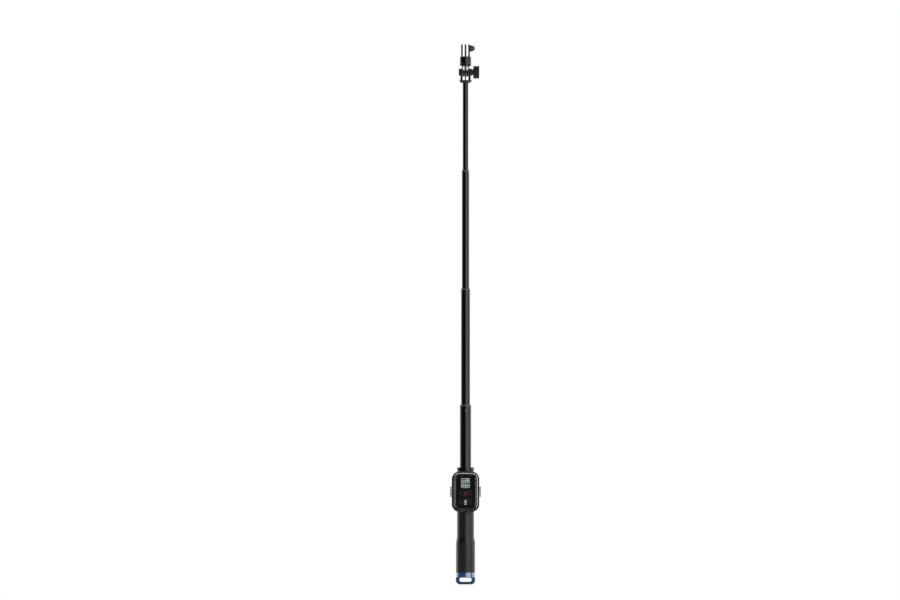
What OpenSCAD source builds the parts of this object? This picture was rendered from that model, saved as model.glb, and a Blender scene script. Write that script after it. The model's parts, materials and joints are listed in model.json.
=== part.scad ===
// A hand-held telescoping pole for a small action camera. Four black tubes slide into the handle
// and lock by a twist. The head tilts on a clamped fork, turns on a swivel and ends in three
// fingers that take the camera. A small remote control sits behind a clear hinged frame.
// Origin: the centre of the strap loop's flat end. +Z runs up the pole and -Y is its front.

/* [Handle] */
// Height of the strap loop, from its flat end to the coloured ring
loop_height = 12.1; // [10:0.1:18]
// Depth of the strap loop, front to back
loop_depth = 12; // [8:0.5:16]
// Radius of the loop's two outer corners
loop_corner_r = 8.5; // [4:0.5:9]
// Thickness of the bar that the strap goes round
loop_bar = 4.7; // [3:0.1:6]
// Thickness of each side of the loop
loop_side = 6.2; // [4:0.1:9]
// Radius of the corners of the strap's slot
slot_corner_r = 3.4; // [1:0.1:3.4]
// Height of the coloured ring
ring_height = 8.8; // [5:0.1:14]
// Wall of the coloured ring
ring_wall = 2.0; // [1:0.1:3]
// How far the coloured ring stands proud of the grip
ring_lip = 0.25; // [0:0.05:1]
// How deep the end plug goes into the handle
plug_reach = 9.5; // [6:0.5:14]
// Height of the thick part of the grip
grip_height = 52.1; // [40:0.1:90]
// Height of the flare between the grip and the neck
flare_height = 12; // [6:0.5:20]
// Height of the neck below the remote's holder
neck_height = 42.5; // [30:0.5:80]
// Rubber thickness on the grip
grip_rubber = 3.7; // [2.5:0.1:6]
// Rubber thickness on the neck
neck_rubber = 1.95; // [1:0.05:2.4]
// Wall of the plastic core inside the grip
core_wall = 2.95; // [2:0.05:4]
// Height of the collar above the holder
collar_height = 7.4; // [5:0.1:12]
// Height of the collar's lower band
collar_band = 3.6; // [2:0.1:4.5]
// Width of the groove between the collar's bands
collar_groove = 0.5; // [0.2:0.1:1]

/* [Tubes] */
// Outside diameter of the outer tube
tube_1_od = 20; // [19:0.5:26]
// Outside diameter of the second tube
tube_2_od = 16; // [15.5:0.1:16.5]
// Outside diameter of the third tube
tube_3_od = 13; // [12.4:0.1:13.2]
// Outside diameter of the inner tube
tube_4_od = 10; // [9.6:0.1:10.2]
// Wall of every tube
tube_wall = 0.8; // [0.6:0.05:0.9]
// Length of the outer tube
tube_1_length = 282.45; // [250:0.5:360]
// Room in the outer tube below the second tube's foot when the pole is closed
foot_room = 30; // [16:1:60]
// Overlap of the second tube in the outer tube, as drawn out
overlap_2 = 50.3; // [47:0.1:90]
// Overlap of the third tube in the second
overlap_3 = 24.6; // [24.6:0.1:60]
// Overlap of the inner tube in the third
overlap_4 = 57.6; // [24.6:0.1:90]
// Height of each tube's chamfered mouth
mouth_height = 2.6; // [1.5:0.1:4]
// Chamfer on each mouth
mouth_chamfer = 0.5; // [0.2:0.1:0.8]
// Length of the guide sleeve below each mouth
guide_length = 10; // [8:0.5:10]
// Diameter of the button that locks each guide in its tube
guide_button_d = 4.4; // [3:0.1:5]
// How far the locking button lies below the mouth
guide_button_drop = 9.8; // [7:0.1:10]
// Length of the stop sleeve on the second tube's foot
stop_length_2 = 33.9; // [12:0.1:34]
// Length of the stop sleeve on the third and inner tubes' feet
stop_length = 11.9; // [8:0.1:11.9]

/* [Twist locks] */
// Length of each lock plug inside its tube
plug_height = 8; // [6:0.5:8]
// Thickness of the plug's flange under the tube
plug_flange = 1.5; // [1:0.1:2]
// Length of each split collet
collet_length = 9; // [8:0.5:9]
// Thickness of the collet at its thin end
collet_lip = 0.9; // [0.6:0.1:1.1]
// Width of the collet's slots
collet_slot = 1.0; // [0.8:0.1:1.4]
// Thread diameter of each lock's stud
stud_d = 4; // [3:0.1:4.4]
// How far the cone stands below its collet
cone_reach = 1.5; // [1:0.1:1.8]
// How far the cone backs out of its collet in half a turn
cone_travel = 0.75; // [0.5:0.05:0.8]

/* [Remote holder] */
// Width of the remote
remote_width = 40.6; // [34:0.2:50]
// Height of the remote
remote_height = 63.3; // [56:0.1:76]
// Depth of the remote
remote_depth = 11; // [10.6:0.1:14]
// Corner radius of the remote, seen from the front
remote_corner_r = 9.8; // [7:0.1:11]
// Gap round the remote
pocket_gap = 0.6; // [0.6:0.1:1.5]
// Wall of the holder and of its clear frame
frame_wall = 3.4; // [3.2:0.1:4.5]
// Depth of the clear frame's front lip
lip_depth = 1.8; // [1.2:0.1:3]
// How far the lip reaches in from each side
lip_side = 4.25; // [2:0.05:6]
// How far the lip reaches in from the top and bottom
lip_end = 3.25; // [2:0.05:5]
// Floor of the holder, in front of the handle's core
floor_depth = 1.8; // [1.2:0.1:3]
// Foam pad behind the remote
pad_depth = 0.8; // [0.4:0.1:1.5]
// Depth of the holder's rim in front of its floor
rim_depth = 5.2; // [5:0.1:6]
// Height of the pull ears on the clear frame
ear_height = 18.5; // [12:0.5:24]
// How far the pull ears stand out from the holder's sides
ear_reach = 3; // [1.5:0.1:4]
// Diameter of the frame's hinge pin
hinge_pin_d = 1.6; // [1.2:0.1:1.8]
// Diameter of the hinge knuckles
knuckle_d = 3.4; // [3.2:0.1:3.4]
// Width of the frame's own knuckle
knuckle_width = 10; // [6:0.5:12]
// Width of each of the holder's knuckles
knuckle_side = 4.5; // [3:0.5:5]

/* [Remote] */
// Wall of the remote's shells
shell_wall = 1.4; // [1.2:0.1:1.6]
// Width of the display window
window_width = 16.6; // [14:0.2:22]
// Height of the display window
window_height = 18.2; // [14:0.2:21]
// Drop from the top of the remote to the window
window_drop = 7.2; // [5:0.2:9]
// Width of both buttons
button_width = 24; // [16:0.5:26]
// Height of the upper button
button_upper_height = 13; // [9:0.5:13]
// Height of the lower button
button_lower_height = 11.6; // [8:0.2:11.6]
// Gap between the window and the buttons, and between the buttons
button_spacing = 2.4; // [2.4:0.1:4]
// How far the buttons stand proud of the face
button_proud = 0.3; // [0.1:0.1:0.6]
// How far a button travels
button_travel = 0.6; // [0.3:0.1:0.6]

/* [Head] */
// Diameter of the cup under the fork
cup_d = 23; // [21:0.5:26]
// Diameter of the cup where it meets the tube
cup_base_d = 18; // [16:0.5:20]
// Height of the cup
cup_height = 5.2; // [4:0.1:6]
// Height of the tilt axis above the cup's base
hub_height = 18.7; // [18:0.1:24]
// Length of the spigot inside the tube
spigot_length = 14; // [8:1:20]
// Radius of the fork's ears about the tilt axis
fork_r = 7.8; // [7:0.1:8]
// Thickness of the fork's middle rib
rib_t = 2.1; // [1.6:0.1:3]
// Thickness of each tongue of the tilting part
tongue_t = 3.65; // [3:0.05:5]
// Thickness of each ear of the fork
ear_t = 4.1; // [3:0.1:5]
// Diameter of the bosses on the fork's ears
boss_d = 12; // [11:0.5:14]
// Height of the bosses
boss_t = 2.9; // [2.9:0.1:4]
// Diameter of the pivot bolt
bolt_d = 5; // [4:0.1:5.2]
// Diameter of the clamp knob
knob_d = 22.4; // [18:0.2:28]
// Length of the knob's fluted part
knob_length = 10.5; // [7:0.1:12]
// Number of flutes round the knob
knob_flutes = 20; // [12:1:30]
// Radius of the tongues about the tilt axis
tongue_r = 7.5; // [6.5:0.1:7.6]
// Half the depth of the neck above the tongues
neck_half_depth = 6; // [4:0.5:7]
// Height of the swivel's seat above the tilt axis
seat_height = 10.8; // [9.4:0.1:14]
// Height of the swivel's lower disc
disc_height = 5.2; // [4:0.1:8]
// Diameter of the swivel
swivel_d = 20.5; // [20:0.1:24]
// Height of the swivel's turning barrel
barrel_height = 11.6; // [11.5:0.1:16]
// Diameter of the swivel's spigot
swivel_spigot_d = 10; // [8:0.5:12]
// Thickness of each camera finger
finger_t = 3; // [2.6:0.05:3.2]
// Distance between the fingers' middles
finger_pitch = 6.3; // [6:0.1:6.8]
// Radius of the fingers' ends, half their depth
finger_r = 7.5; // [7:0.1:7.8]
// Height of the fingers' hole above the barrel
finger_rise = 14.0; // [11:0.1:18]
// Diameter of the fingers' hole
finger_hole_d = 5.2; // [5:0.1:5.6]
// Length of the nut's cap beside the fingers
nut_cap_length = 8.5; // [7:0.1:10]
// Diameter of the nut's cap
nut_cap_d = 11.4; // [11:0.1:13]

/* [Fits] */
// Radial gap of pieces that are bonded or pressed together
bond = 0.05; // [0.03:0.01:0.08]
// Radial gap of pieces that slide or turn in each other
running = 0.08; // [0.05:0.01:0.1]
// Gap beside the tongues of the tilt joint
side_play = 0.15; // [0.1:0.05:0.3]
// Gap between separate flat faces
seam = 0.3; // [0.2:0.05:0.4]

/* [Hidden] */
$fn = 96;
cut = 0.5;

// Handle radii and heights
core_inner_r = tube_1_od / 2 + bond;
core_r = core_inner_r + core_wall;
neck_r = core_r + bond + neck_rubber;
grip_r = core_r + bond + grip_rubber;
ring_r = grip_r + ring_lip;
grip_z = loop_height + ring_height;
flare_z = grip_z + grip_height;
neck_z = flare_z + flare_height;
cradle_z = neck_z + neck_height;

// Remote and holder, measured forwards from the handle's axis
pocket_w = remote_width + 2 * pocket_gap;
pocket_h = remote_height + 2 * pocket_gap;
pocket_r = remote_corner_r + pocket_gap;
cradle_w = pocket_w + 2 * frame_wall;
cradle_h = pocket_h + 2 * frame_wall;
cradle_r = pocket_r + frame_wall;
cradle_mid_z = cradle_z + cradle_h / 2;
floor_y = core_r + floor_depth;
rim_y = floor_y + rim_depth;
remote_back_y = floor_y + bond + pad_depth + bond;
remote_front_y = remote_back_y + remote_depth;
lip_y = remote_front_y + seam;
ear_bottom_z = cradle_mid_z - ear_height / 2;
pivot_y = rim_y - 1;
pivot_z = cradle_z + 0.1 + knuckle_d / 2;
hinge_relief_y = pivot_y + knuckle_d / 2 + 0.9;
hinge_relief_z = pivot_z + knuckle_d / 2 + 0.7;
collar_z = cradle_z + cradle_h;

// Inside the remote
shell_split_y = remote_front_y - 5.5;
board_depth = 1.2;
board_y = shell_split_y - 0.5;
switch_height = 1.2;
flange_depth = 0.8;
button_flange_y = remote_front_y - shell_wall - seam;
window_z = cradle_mid_z + remote_height / 2 - window_drop - window_height / 2;
button_upper_z = window_z - window_height / 2 - button_spacing - button_upper_height / 2;
button_lower_z = button_upper_z - button_upper_height / 2 - button_spacing
    - button_lower_height / 2;
screw_x = remote_width / 2 - 4.8;
screw_z = remote_height / 2 - 5.2;
remote_boss_r = 2.2;

// Tubes: outside diameters, lengths, mouths and feet, from the outer tube inwards
tube_od = [tube_1_od, tube_2_od, tube_3_od, tube_4_od];
overlap = [0, overlap_2, overlap_3, overlap_4];
stop_sleeve_length = [0, stop_length_2, stop_length, stop_length];
button_angle = [7, -90, 110];
lock_height = plug_flange + 0.2 + collet_length + cone_reach + cone_travel;
lock_stack = plug_height + lock_height + 1.05;
tube_1_foot_z = grip_z + plug_reach + 0.55;
mouth_1_z = tube_1_foot_z + tube_1_length + mouth_height;
function tube_id(n) = tube_od[n] - 2 * tube_wall;
function reach(n) = tube_1_length + mouth_height - foot_room - (n - 1) * lock_stack;
function mouth_z(n) = n == 0 ? mouth_1_z : mouth_z(n - 1) + reach(n) - overlap[n];
function foot_z(n) = mouth_z(n) - reach(n);

// Head
cup_z = mouth_z(3);
hub_z = cup_z + hub_height;
tongue_x = rib_t / 2 + side_play;
ear_x = tongue_x + tongue_t + side_play;
ear_out_x = ear_x + ear_t;
boss_x = ear_out_x + boss_t;
washer_t = 1;
knob_x = boss_x + washer_t + 0.1;
knob_neck = 0.6;
knob_end_x = knob_x + knob_neck + knob_length;
nut_flats = 8;
nut_t = 4;
seat_z = hub_z + seat_height;
barrel_z = seat_z + disc_height + 0.4;
finger_z = barrel_z + barrel_height;
finger_hole_z = finger_z + finger_rise;
finger_out_x = finger_pitch + finger_t / 2;
groove_z = barrel_z + 5;
groove_h = 2.6;
groove_depth = 1.3;

// Outline of a rectangle with round corners
module round_rect(w, h, r) {
    square([w - 2 * r, h], center = true);
    square([w, h - 2 * r], center = true);
    for (x = [-1, 1], y = [-1, 1])
        translate([x * (w / 2 - r), y * (h / 2 - r)]) circle(r);
}

// Upright plate, from back to front measured forwards from the handle's axis
module plate(w, h, r, back, front, z) {
    translate([0, -back, z]) rotate([90, 0, 0])
        linear_extrude(front - back) round_rect(w, h, r);
}

// Tube between two heights
module pipe(outer_r, inner_r, low, high) {
    translate([0, 0, low]) difference() {
        cylinder(r = outer_r, h = high - low);
        translate([0, 0, -cut]) cylinder(r = inner_r, h = high - low + 2 * cut);
    }
}

// Cylinder along X
module bar_x(r, low, high, y, z) {
    translate([low, y, z]) rotate([0, 90, 0]) cylinder(r = r, h = high - low);
}

// Hexagonal prism along X, measured across its flats
module hex_x(flats, low, high, z) {
    translate([low, 0, z]) rotate([0, 90, 0])
        cylinder(r = flats / sqrt(3), h = high - low, $fn = 6);
}

// Upright slab across X with a round end on the tilt axis or on the fingers' hole
module eye(x, t, r, half, foot, z) {
    translate([x, 0, z]) rotate([0, 90, 0]) {
        cylinder(r = r, h = t);
        translate([foot > 0 ? -foot : 0, -half, 0]) cube([abs(foot), 2 * half, t]);
    }
}

// ---- Handle ----

module strap_loop() {
    loop_w = 2 * ring_r;
    slot_top = loop_height - 0.3;
    slot_h = slot_top - loop_bar;
    corner_r = min(slot_corner_r, slot_h / 2 - 0.05);
    cap_r = ring_r - ring_wall - bond;
    color("royalblue") difference() {
        union() {
            translate([0, loop_depth / 2, 0]) rotate([90, 0, 0])
                linear_extrude(loop_depth) difference() {
                    intersection() {
                        translate([-ring_r, 0]) square([loop_w, loop_height]);
                        translate([0, loop_height]) round_rect(loop_w, 2 * loop_height,
                                                               loop_corner_r);
                    }
                    translate([0, loop_bar + slot_h / 2])
                        round_rect(loop_w - 2 * loop_side, slot_h, corner_r);
                }
            translate([0, 0, loop_height]) cylinder(r = cap_r, h = ring_height);
            translate([0, 0, grip_z]) cylinder(r = core_inner_r - bond, h = plug_reach);
        }
        pipe(core_inner_r + cut, core_inner_r - bond - 1.3,
             grip_z + plug_reach / 2 - 1, grip_z + plug_reach / 2 + 1);
    }
}

module accent_ring() {
    edge = 0.6;
    inner = ring_r - ring_wall;
    color("dodgerblue") rotate_extrude() polygon([
        [inner, loop_height], [ring_r - edge, loop_height], [ring_r, loop_height + edge],
        [ring_r, grip_z - edge], [ring_r - edge, grip_z], [inner, grip_z]
    ]);
}

module end_seal() {
    seal_r = 0.65;
    color("dimgray") translate([0, 0, grip_z + plug_reach / 2])
        rotate_extrude() translate([core_inner_r - bond - seal_r, 0]) circle(seal_r, $fn = 32);
}

module handle_core() {
    color("dimgray") pipe(core_r, core_inner_r, grip_z, collar_z);
}

module grip_sleeve() {
    steps = 14;
    flare = [for (i = [0 : steps]) [
        neck_r + (grip_r - neck_r) * (1 + cos(180 * i / steps)) / 2,
        flare_z + flare_height * i / steps
    ]];
    color("#3a3c40") rotate_extrude() polygon(concat(
        [[core_r + bond, grip_z], [grip_r, grip_z]],
        flare,
        [[neck_r, cradle_z - bond], [core_r + bond, cradle_z - bond]]
    ));
}

module collar_ring() {
    top_z = collar_z + collar_height;
    step_r = neck_r + 0.15;
    groove_r = step_r - 0.5;
    edge = 0.8;
    color("#2b2c2f") rotate_extrude() polygon([
        [core_inner_r, collar_z + bond], [step_r, collar_z + bond],
        [step_r, collar_z + collar_band], [groove_r, collar_z + collar_band],
        [groove_r, collar_z + collar_band + collar_groove],
        [step_r, collar_z + collar_band + collar_groove],
        [step_r, top_z - edge], [step_r - edge, top_z], [core_inner_r, top_z]
    ]);
}

// ---- Remote holder ----

module cradle_base() {
    bracket_h = cradle_h - 2 * cradle_r;
    color("#202124") difference() {
        union() {
            plate(cradle_w, cradle_h, cradle_r, core_r - 0.2, rim_y, cradle_mid_z);
            translate([0, 0, cradle_z]) cylinder(r = neck_r, h = cradle_h);
            translate([0, 0, cradle_mid_z - bracket_h / 2]) linear_extrude(bracket_h) polygon([
                [-cradle_w / 2 + 3, -core_r], [cradle_w / 2 - 3, -core_r],
                [neck_r - 0.5, -3], [-neck_r + 0.5, -3]
            ]);
            for (side = [-1, 1]) bar_x(knuckle_d / 2,
                side * (knuckle_width / 2 + seam + knuckle_side / 2) - knuckle_side / 2,
                side * (knuckle_width / 2 + seam + knuckle_side / 2) + knuckle_side / 2,
                -pivot_y, pivot_z);
        }
        plate(pocket_w, pocket_h, pocket_r, floor_y, rim_y + cut, cradle_mid_z);
        translate([0, 0, cradle_z - cut]) cylinder(r = core_r + bond, h = cradle_h + 2 * cut);
        // Room for the frame's knuckle and the wall above it, right through the open swing
        translate([-knuckle_width / 2 - seam, -rim_y - cut - 1, cradle_z - cut])
            cube([knuckle_width + 2 * seam, 4.5 + cut, frame_wall + cut + 0.4]);
        // Seats for the pull ears
        for (side = [-1, 1])
            translate([side > 0 ? cradle_w / 2 - 1.3 : -cradle_w / 2 - cut,
                       -rim_y - cut, ear_bottom_z - seam])
                cube([1.3 + cut, 4 + cut, ear_height + 2 * seam]);
        bar_x(hinge_pin_d / 2 + 0.02, -cradle_w / 2, cradle_w / 2, -pivot_y, pivot_z);
        cradle_screw_holes();
    }
}

// Where the holder's two screws go through its floor
module at_cradle_screws() {
    for (z = [-1, 1]) translate([0, -core_r, cradle_mid_z + z * 20])
        rotate([90, 0, 0]) children();
}

module cradle_screw_holes() {
    at_cradle_screws() {
        translate([0, 0, -cut]) cylinder(r = 1.4, h = floor_depth + 2 * cut);
        translate([0, 0, floor_depth - 1]) cylinder(r1 = 1.4, r2 = 2.5, h = 1.1);
    }
}

module cradle_screws() {
    color("silver") at_cradle_screws() difference() {
        union() {
            translate([0, 0, 0.2]) cylinder(r = 1.3, h = floor_depth - 0.4);
            translate([0, 0, floor_depth - 1 + 0.05]) cylinder(r1 = 1.3, r2 = 2.2, h = 0.9);
        }
        translate([-1.6, -0.25, floor_depth - 0.4]) cube([3.2, 0.5, 1]);
    }
}

module pocket_pad() {
    color("#505256") plate(remote_width - 8, remote_height - 8, remote_corner_r - 4,
                           floor_y + bond, floor_y + bond + pad_depth, cradle_mid_z);
}

module hinge_pin() {
    reach_x = knuckle_width / 2 + seam + knuckle_side - 0.2;
    color("silver") bar_x(hinge_pin_d / 2, -reach_x, reach_x, -pivot_y, pivot_z);
}

// L-shaped pull ear on the frame's right side
module pull_ear() {
    plate_t = 2;
    inner_x = cradle_w / 2 - 1.1;
    outer_x = cradle_w / 2 + ear_reach;
    front = lip_y + lip_depth - 1;
    translate([0, 0, ear_bottom_z]) linear_extrude(ear_height) {
        translate([inner_x, -front]) square([plate_t, front - rim_y + 3]);
        translate([inner_x, -front]) square([outer_x - inner_x - 0.8, 2.4]);
        translate([outer_x - 0.8 - 0.4, -front]) square([0.4 + 0.4, 2.4]);
        translate([outer_x - 0.8, -front + 0.8]) square([0.8, 0.8]);
        for (y = [0.8, 1.6]) translate([outer_x - 0.8, -front + y]) circle(0.8, $fn = 32);
    }
}

module clear_frame() {
    back = rim_y + seam;
    front = lip_y + lip_depth;
    lip_bevel = 0.9;
    color([0.75, 0.78, 0.82, 0.5]) difference() {
        union() {
            difference() {
                union() {
                    plate(cradle_w - 2 * lip_bevel, cradle_h - 2 * lip_bevel,
                          cradle_r - lip_bevel, back, front, cradle_mid_z);
                    plate(cradle_w, cradle_h, cradle_r, back, front - lip_bevel, cradle_mid_z);
                }
                plate(pocket_w, pocket_h, pocket_r, back - cut, lip_y, cradle_mid_z);
                plate(pocket_w - 2 * lip_side, pocket_h - 2 * lip_end, pocket_r - lip_end,
                      back, front + cut, cradle_mid_z);
                // Relief that lets the frame swing past the holder's lower edge
                translate([-cradle_w / 2, -hinge_relief_y, cradle_z - cut])
                    cube([cradle_w, hinge_relief_y - back + cut,
                          hinge_relief_z - cradle_z + cut]);
            }
            pull_ear();
            mirror([1, 0, 0]) pull_ear();
            bar_x(knuckle_d / 2, -knuckle_width / 2, knuckle_width / 2, -pivot_y, pivot_z);
            translate([-knuckle_width / 2, -hinge_relief_y - 1, pivot_z - knuckle_d / 2])
                cube([knuckle_width, hinge_relief_y + 1 - pivot_y, frame_wall - 0.2]);
        }
        bar_x(hinge_pin_d / 2 + 0.06, -cradle_w / 2, cradle_w / 2, -pivot_y, pivot_z);
    }
}

// ---- Remote ----

// Bosses that take the remote's four screws
module at_remote_screws() {
    for (x = [-1, 1], z = [-1, 1])
        translate([x * screw_x, 0, cradle_mid_z + z * screw_z]) rotate([90, 0, 0]) children();
}

module remote_front_shell() {
    color("#2a2b2e") difference() {
        union() {
            difference() {
                plate(remote_width, remote_height, remote_corner_r,
                      shell_split_y + bond, remote_front_y, cradle_mid_z);
                plate(remote_width - 2 * shell_wall, remote_height - 2 * shell_wall,
                      remote_corner_r - shell_wall, shell_split_y - cut,
                      remote_front_y - shell_wall, cradle_mid_z);
            }
            at_remote_screws() translate([0, 0, shell_split_y + bond])
                cylinder(r = remote_boss_r, h = remote_front_y - shell_wall - shell_split_y);
        }
        plate(window_width, window_height, 1.5, shell_split_y, remote_front_y + cut, window_z);
        plate(button_width + 0.6, button_upper_height + 0.6, 3.3, shell_split_y,
              remote_front_y + cut, button_upper_z);
        plate(button_width + 0.6, button_lower_height + 0.6, 3.3, shell_split_y,
              remote_front_y + cut, button_lower_z);
        at_remote_screws() translate([0, 0, shell_split_y - cut])
            cylinder(r = 0.9, h = 3.5 + cut, $fn = 32);
    }
}

module remote_back_shell() {
    color("#2a2b2e") difference() {
        union() {
            difference() {
                plate(remote_width, remote_height, remote_corner_r,
                      remote_back_y, shell_split_y, cradle_mid_z);
                plate(remote_width - 2 * shell_wall, remote_height - 2 * shell_wall,
                      remote_corner_r - shell_wall, remote_back_y + shell_wall,
                      shell_split_y + cut, cradle_mid_z);
            }
            at_remote_screws() translate([0, 0, remote_back_y])
                cylinder(r = remote_boss_r, h = shell_split_y - remote_back_y);
        }
        at_remote_screws() translate([0, 0, remote_back_y - cut])
            cylinder(r = 1.1, h = remote_depth, $fn = 32);
        at_remote_screws() translate([0, 0, remote_back_y - cut])
            cylinder(r = 1.75, h = 1 + cut, $fn = 32);
    }
}

module remote_screws() {
    color("silver") at_remote_screws() difference() {
        union() {
            translate([0, 0, remote_back_y + 0.1]) cylinder(r = 1.6, h = 0.85, $fn = 32);
            translate([0, 0, remote_back_y + 0.9])
                cylinder(r = 0.85, h = shell_split_y - remote_back_y + 2.2, $fn = 32);
        }
        translate([-1, -0.2, remote_back_y - cut]) cube([2, 0.4, cut + 0.5]);
    }
}

module remote_window() {
    color([0.6, 0.65, 0.6, 0.6]) plate(window_width - 0.2, window_height - 0.2, 1.4,
        remote_front_y - 1.1, remote_front_y - 0.1, window_z);
}

module remote_display() {
    color("#7d8577") plate(window_width - 0.6, window_height - 0.6, 1,
        remote_front_y - 2.8, remote_front_y - 1.2, window_z);
}

// A button cap, the flange that holds it in, and the post that meets its switch
module remote_button(height, z) {
    flange_back_y = button_flange_y - flange_depth;
    post_y = board_y + board_depth + switch_height + button_travel + 0.1;
    color("#333538") {
        plate(button_width, height, 3, button_flange_y - 0.2, remote_front_y + button_proud, z);
        plate(button_width + 1.8, height + 1.8, 3.9, flange_back_y, button_flange_y, z);
        translate([0, -post_y, z]) rotate([90, 0, 0])
            cylinder(r = 1.5, h = flange_back_y - post_y + 0.1, $fn = 32);
    }
}

module remote_upper_button() {
    remote_button(button_upper_height, button_upper_z);
}

module remote_lower_button() {
    remote_button(button_lower_height, button_lower_z);
}

module remote_circuit_board() {
    board_w = 2 * (screw_x - remote_boss_r - 0.4);
    color("darkgreen") plate(board_w, remote_height - 6, 1.5, board_y,
                             board_y + board_depth, cradle_mid_z);
}

module remote_switches() {
    color("gray") for (z = [button_upper_z, button_lower_z])
        translate([-2.5, -board_y - board_depth - switch_height, z - 2.5])
            cube([5, switch_height - 0.05, 5]);
}

module remote_battery() {
    battery_w = 2 * (screw_x - remote_boss_r - 0.8);
    color("lightgray") plate(battery_w, remote_height - 22, 2, remote_back_y + shell_wall + 0.1,
                             board_y - 0.2, cradle_mid_z);
}

// ---- Tubes ----

// Places a short pin through a tube's wall at its guide's locking button
module at_guide_button(n) {
    rotate([0, 0, button_angle[n]]) translate([0, 0, mouth_z(n) - guide_button_drop])
        rotate([90, 0, 0]) children();
}

module tube(n, low, high) {
    color("#101012") difference() {
        pipe(tube_od[n] / 2, tube_id(n) / 2, low, high);
        if (n < 3) at_guide_button(n) cylinder(r = guide_button_d / 2 + 0.1, h = tube_od[n],
                                               $fn = 32);
    }
}

module guide_ring(n) {
    outer_r = tube_od[n] / 2;
    sleeve_r = tube_id(n) / 2 - bond;
    bore_r = tube_od[n + 1] / 2 + running;
    low = mouth_z(n) - mouth_height - guide_length;
    flange_low = mouth_z(n) - mouth_height;
    color("#4a4c50") {
        rotate_extrude() polygon([
            [bore_r, low], [sleeve_r, low], [sleeve_r, flange_low], [outer_r, flange_low],
            [outer_r, mouth_z(n) - mouth_chamfer], [outer_r - mouth_chamfer, mouth_z(n)],
            [bore_r, mouth_z(n)]
        ]);
        intersection() {
            at_guide_button(n) cylinder(r = guide_button_d / 2, h = outer_r, $fn = 32);
            pipe(outer_r - 0.15, sleeve_r - 0.2, low, flange_low);
        }
    }
}

module stop_sleeve(n) {
    color("#4a4c50") pipe(tube_id(n - 1) / 2 - running, tube_od[n] / 2 + bond,
                          foot_z(n), foot_z(n) + stop_sleeve_length[n]);
}

module lock_plug(n) {
    flange_z = foot_z(n) - plug_flange;
    stud_bottom = collet_bottom(n) - cone_reach - cone_travel;
    color("#6a6c70") {
        translate([0, 0, flange_z]) cylinder(r = tube_od[n] / 2, h = plug_flange);
        translate([0, 0, foot_z(n)]) cylinder(r = tube_id(n) / 2 - bond, h = plug_height);
        translate([0, 0, stud_bottom]) cylinder(r = stud_d / 2, h = flange_z - stud_bottom + 0.1);
    }
}

function collet_bottom(n) = foot_z(n) - plug_flange - 0.2 - collet_length;

// The tapered hollow of a collet, and the cone that fills it with a gap
module taper(n, gap, drop) {
    wide = tube_id(n - 1) / 2 - running - collet_lip - gap;
    narrow = stud_d / 2 + 0.9 - gap;
    taper_h = collet_length - 2;
    translate([0, 0, collet_bottom(n)]) {
        cylinder(r1 = wide, r2 = narrow, h = taper_h);
        translate([0, 0, -drop]) cylinder(r = wide, h = drop);
    }
}

module collet(n) {
    outer_r = tube_id(n - 1) / 2 - running;
    color("#8a8c90") difference() {
        translate([0, 0, collet_bottom(n)]) cylinder(r = outer_r, h = collet_length);
        taper(n, 0, cut);
        translate([0, 0, collet_bottom(n)])
            cylinder(r = stud_d / 2 + running, h = collet_length + cut);
        for (turn = [0, 90]) rotate([0, 0, turn])
            translate([-outer_r - cut, -collet_slot / 2, collet_bottom(n) - cut])
                cube([2 * (outer_r + cut), collet_slot, collet_length - 2 + cut]);
    }
}

module expander_cone(n) {
    key_r = tube_id(n - 1) / 2 - running - 0.3;
    color("#b0b2b6") difference() {
        union() {
            taper(n, 0.1, cone_reach);
            translate([-key_r, -collet_slot / 2 + 0.15, collet_bottom(n) - cone_reach])
                cube([2 * key_r, collet_slot - 0.3, cone_reach + 2]);
        }
        translate([0, 0, collet_bottom(n) - cone_reach - cut])
            cylinder(r = stud_d / 2 + running, h = collet_length + cone_reach + 2 * cut);
    }
}

module tube_1() {
    tube(0, tube_1_foot_z, mouth_z(0) - mouth_height);
}

module tube_2() {
    tube(1, foot_z(1), mouth_z(1) - mouth_height);
}

module tube_3() {
    tube(2, foot_z(2), mouth_z(2) - mouth_height);
}

module tube_4() {
    tube(3, foot_z(3), cup_z);
}

// ---- Head ----

module head_fork() {
    color("#18191b") difference() {
        union() {
            translate([0, 0, cup_z - spigot_length])
                cylinder(r = tube_id(3) / 2 - bond, h = spigot_length + cut);
            translate([0, 0, cup_z]) cylinder(d1 = cup_base_d, d2 = cup_d, h = cup_height - 1.2);
            translate([0, 0, cup_z + cup_height - 1.2]) cylinder(d = cup_d, h = 1.2);
            intersection() {
                union() {
                    eye(-rib_t / 2, rib_t, fork_r, fork_r, -hub_height + 1, hub_z);
                    eye(ear_x, ear_t, fork_r, fork_r, -hub_height + 1, hub_z);
                    eye(-ear_out_x, ear_t, fork_r, fork_r, -hub_height + 1, hub_z);
                }
                translate([0, 0, cup_z + 1]) cylinder(d = cup_d, h = 2 * hub_height);
            }
            bar_x(boss_d / 2, ear_x + 1, boss_x, 0, hub_z);
            bar_x(boss_d / 2, -boss_x, -ear_x - 1, 0, hub_z);
        }
        bar_x(bolt_d / 2 + running, -boss_x - cut, boss_x + cut, 0, hub_z);
        hex_x(nut_flats + 0.2, -boss_x - cut, -boss_x + nut_t + 0.2, hub_z);
    }
}

module pivot_nut() {
    color("silver") difference() {
        hex_x(nut_flats, -boss_x + 0.1, -boss_x + nut_t + 0.1, hub_z);
        bar_x(bolt_d / 2 + running, -boss_x - cut, 0, 0, hub_z);
    }
}

module pivot_bolt() {
    color("silver") {
        bar_x(bolt_d / 2, -boss_x + 0.3, knob_end_x - 4.2, 0, hub_z);
        hex_x(nut_flats, knob_end_x - 4.3, knob_end_x - 1.3, hub_z);
    }
}

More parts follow.
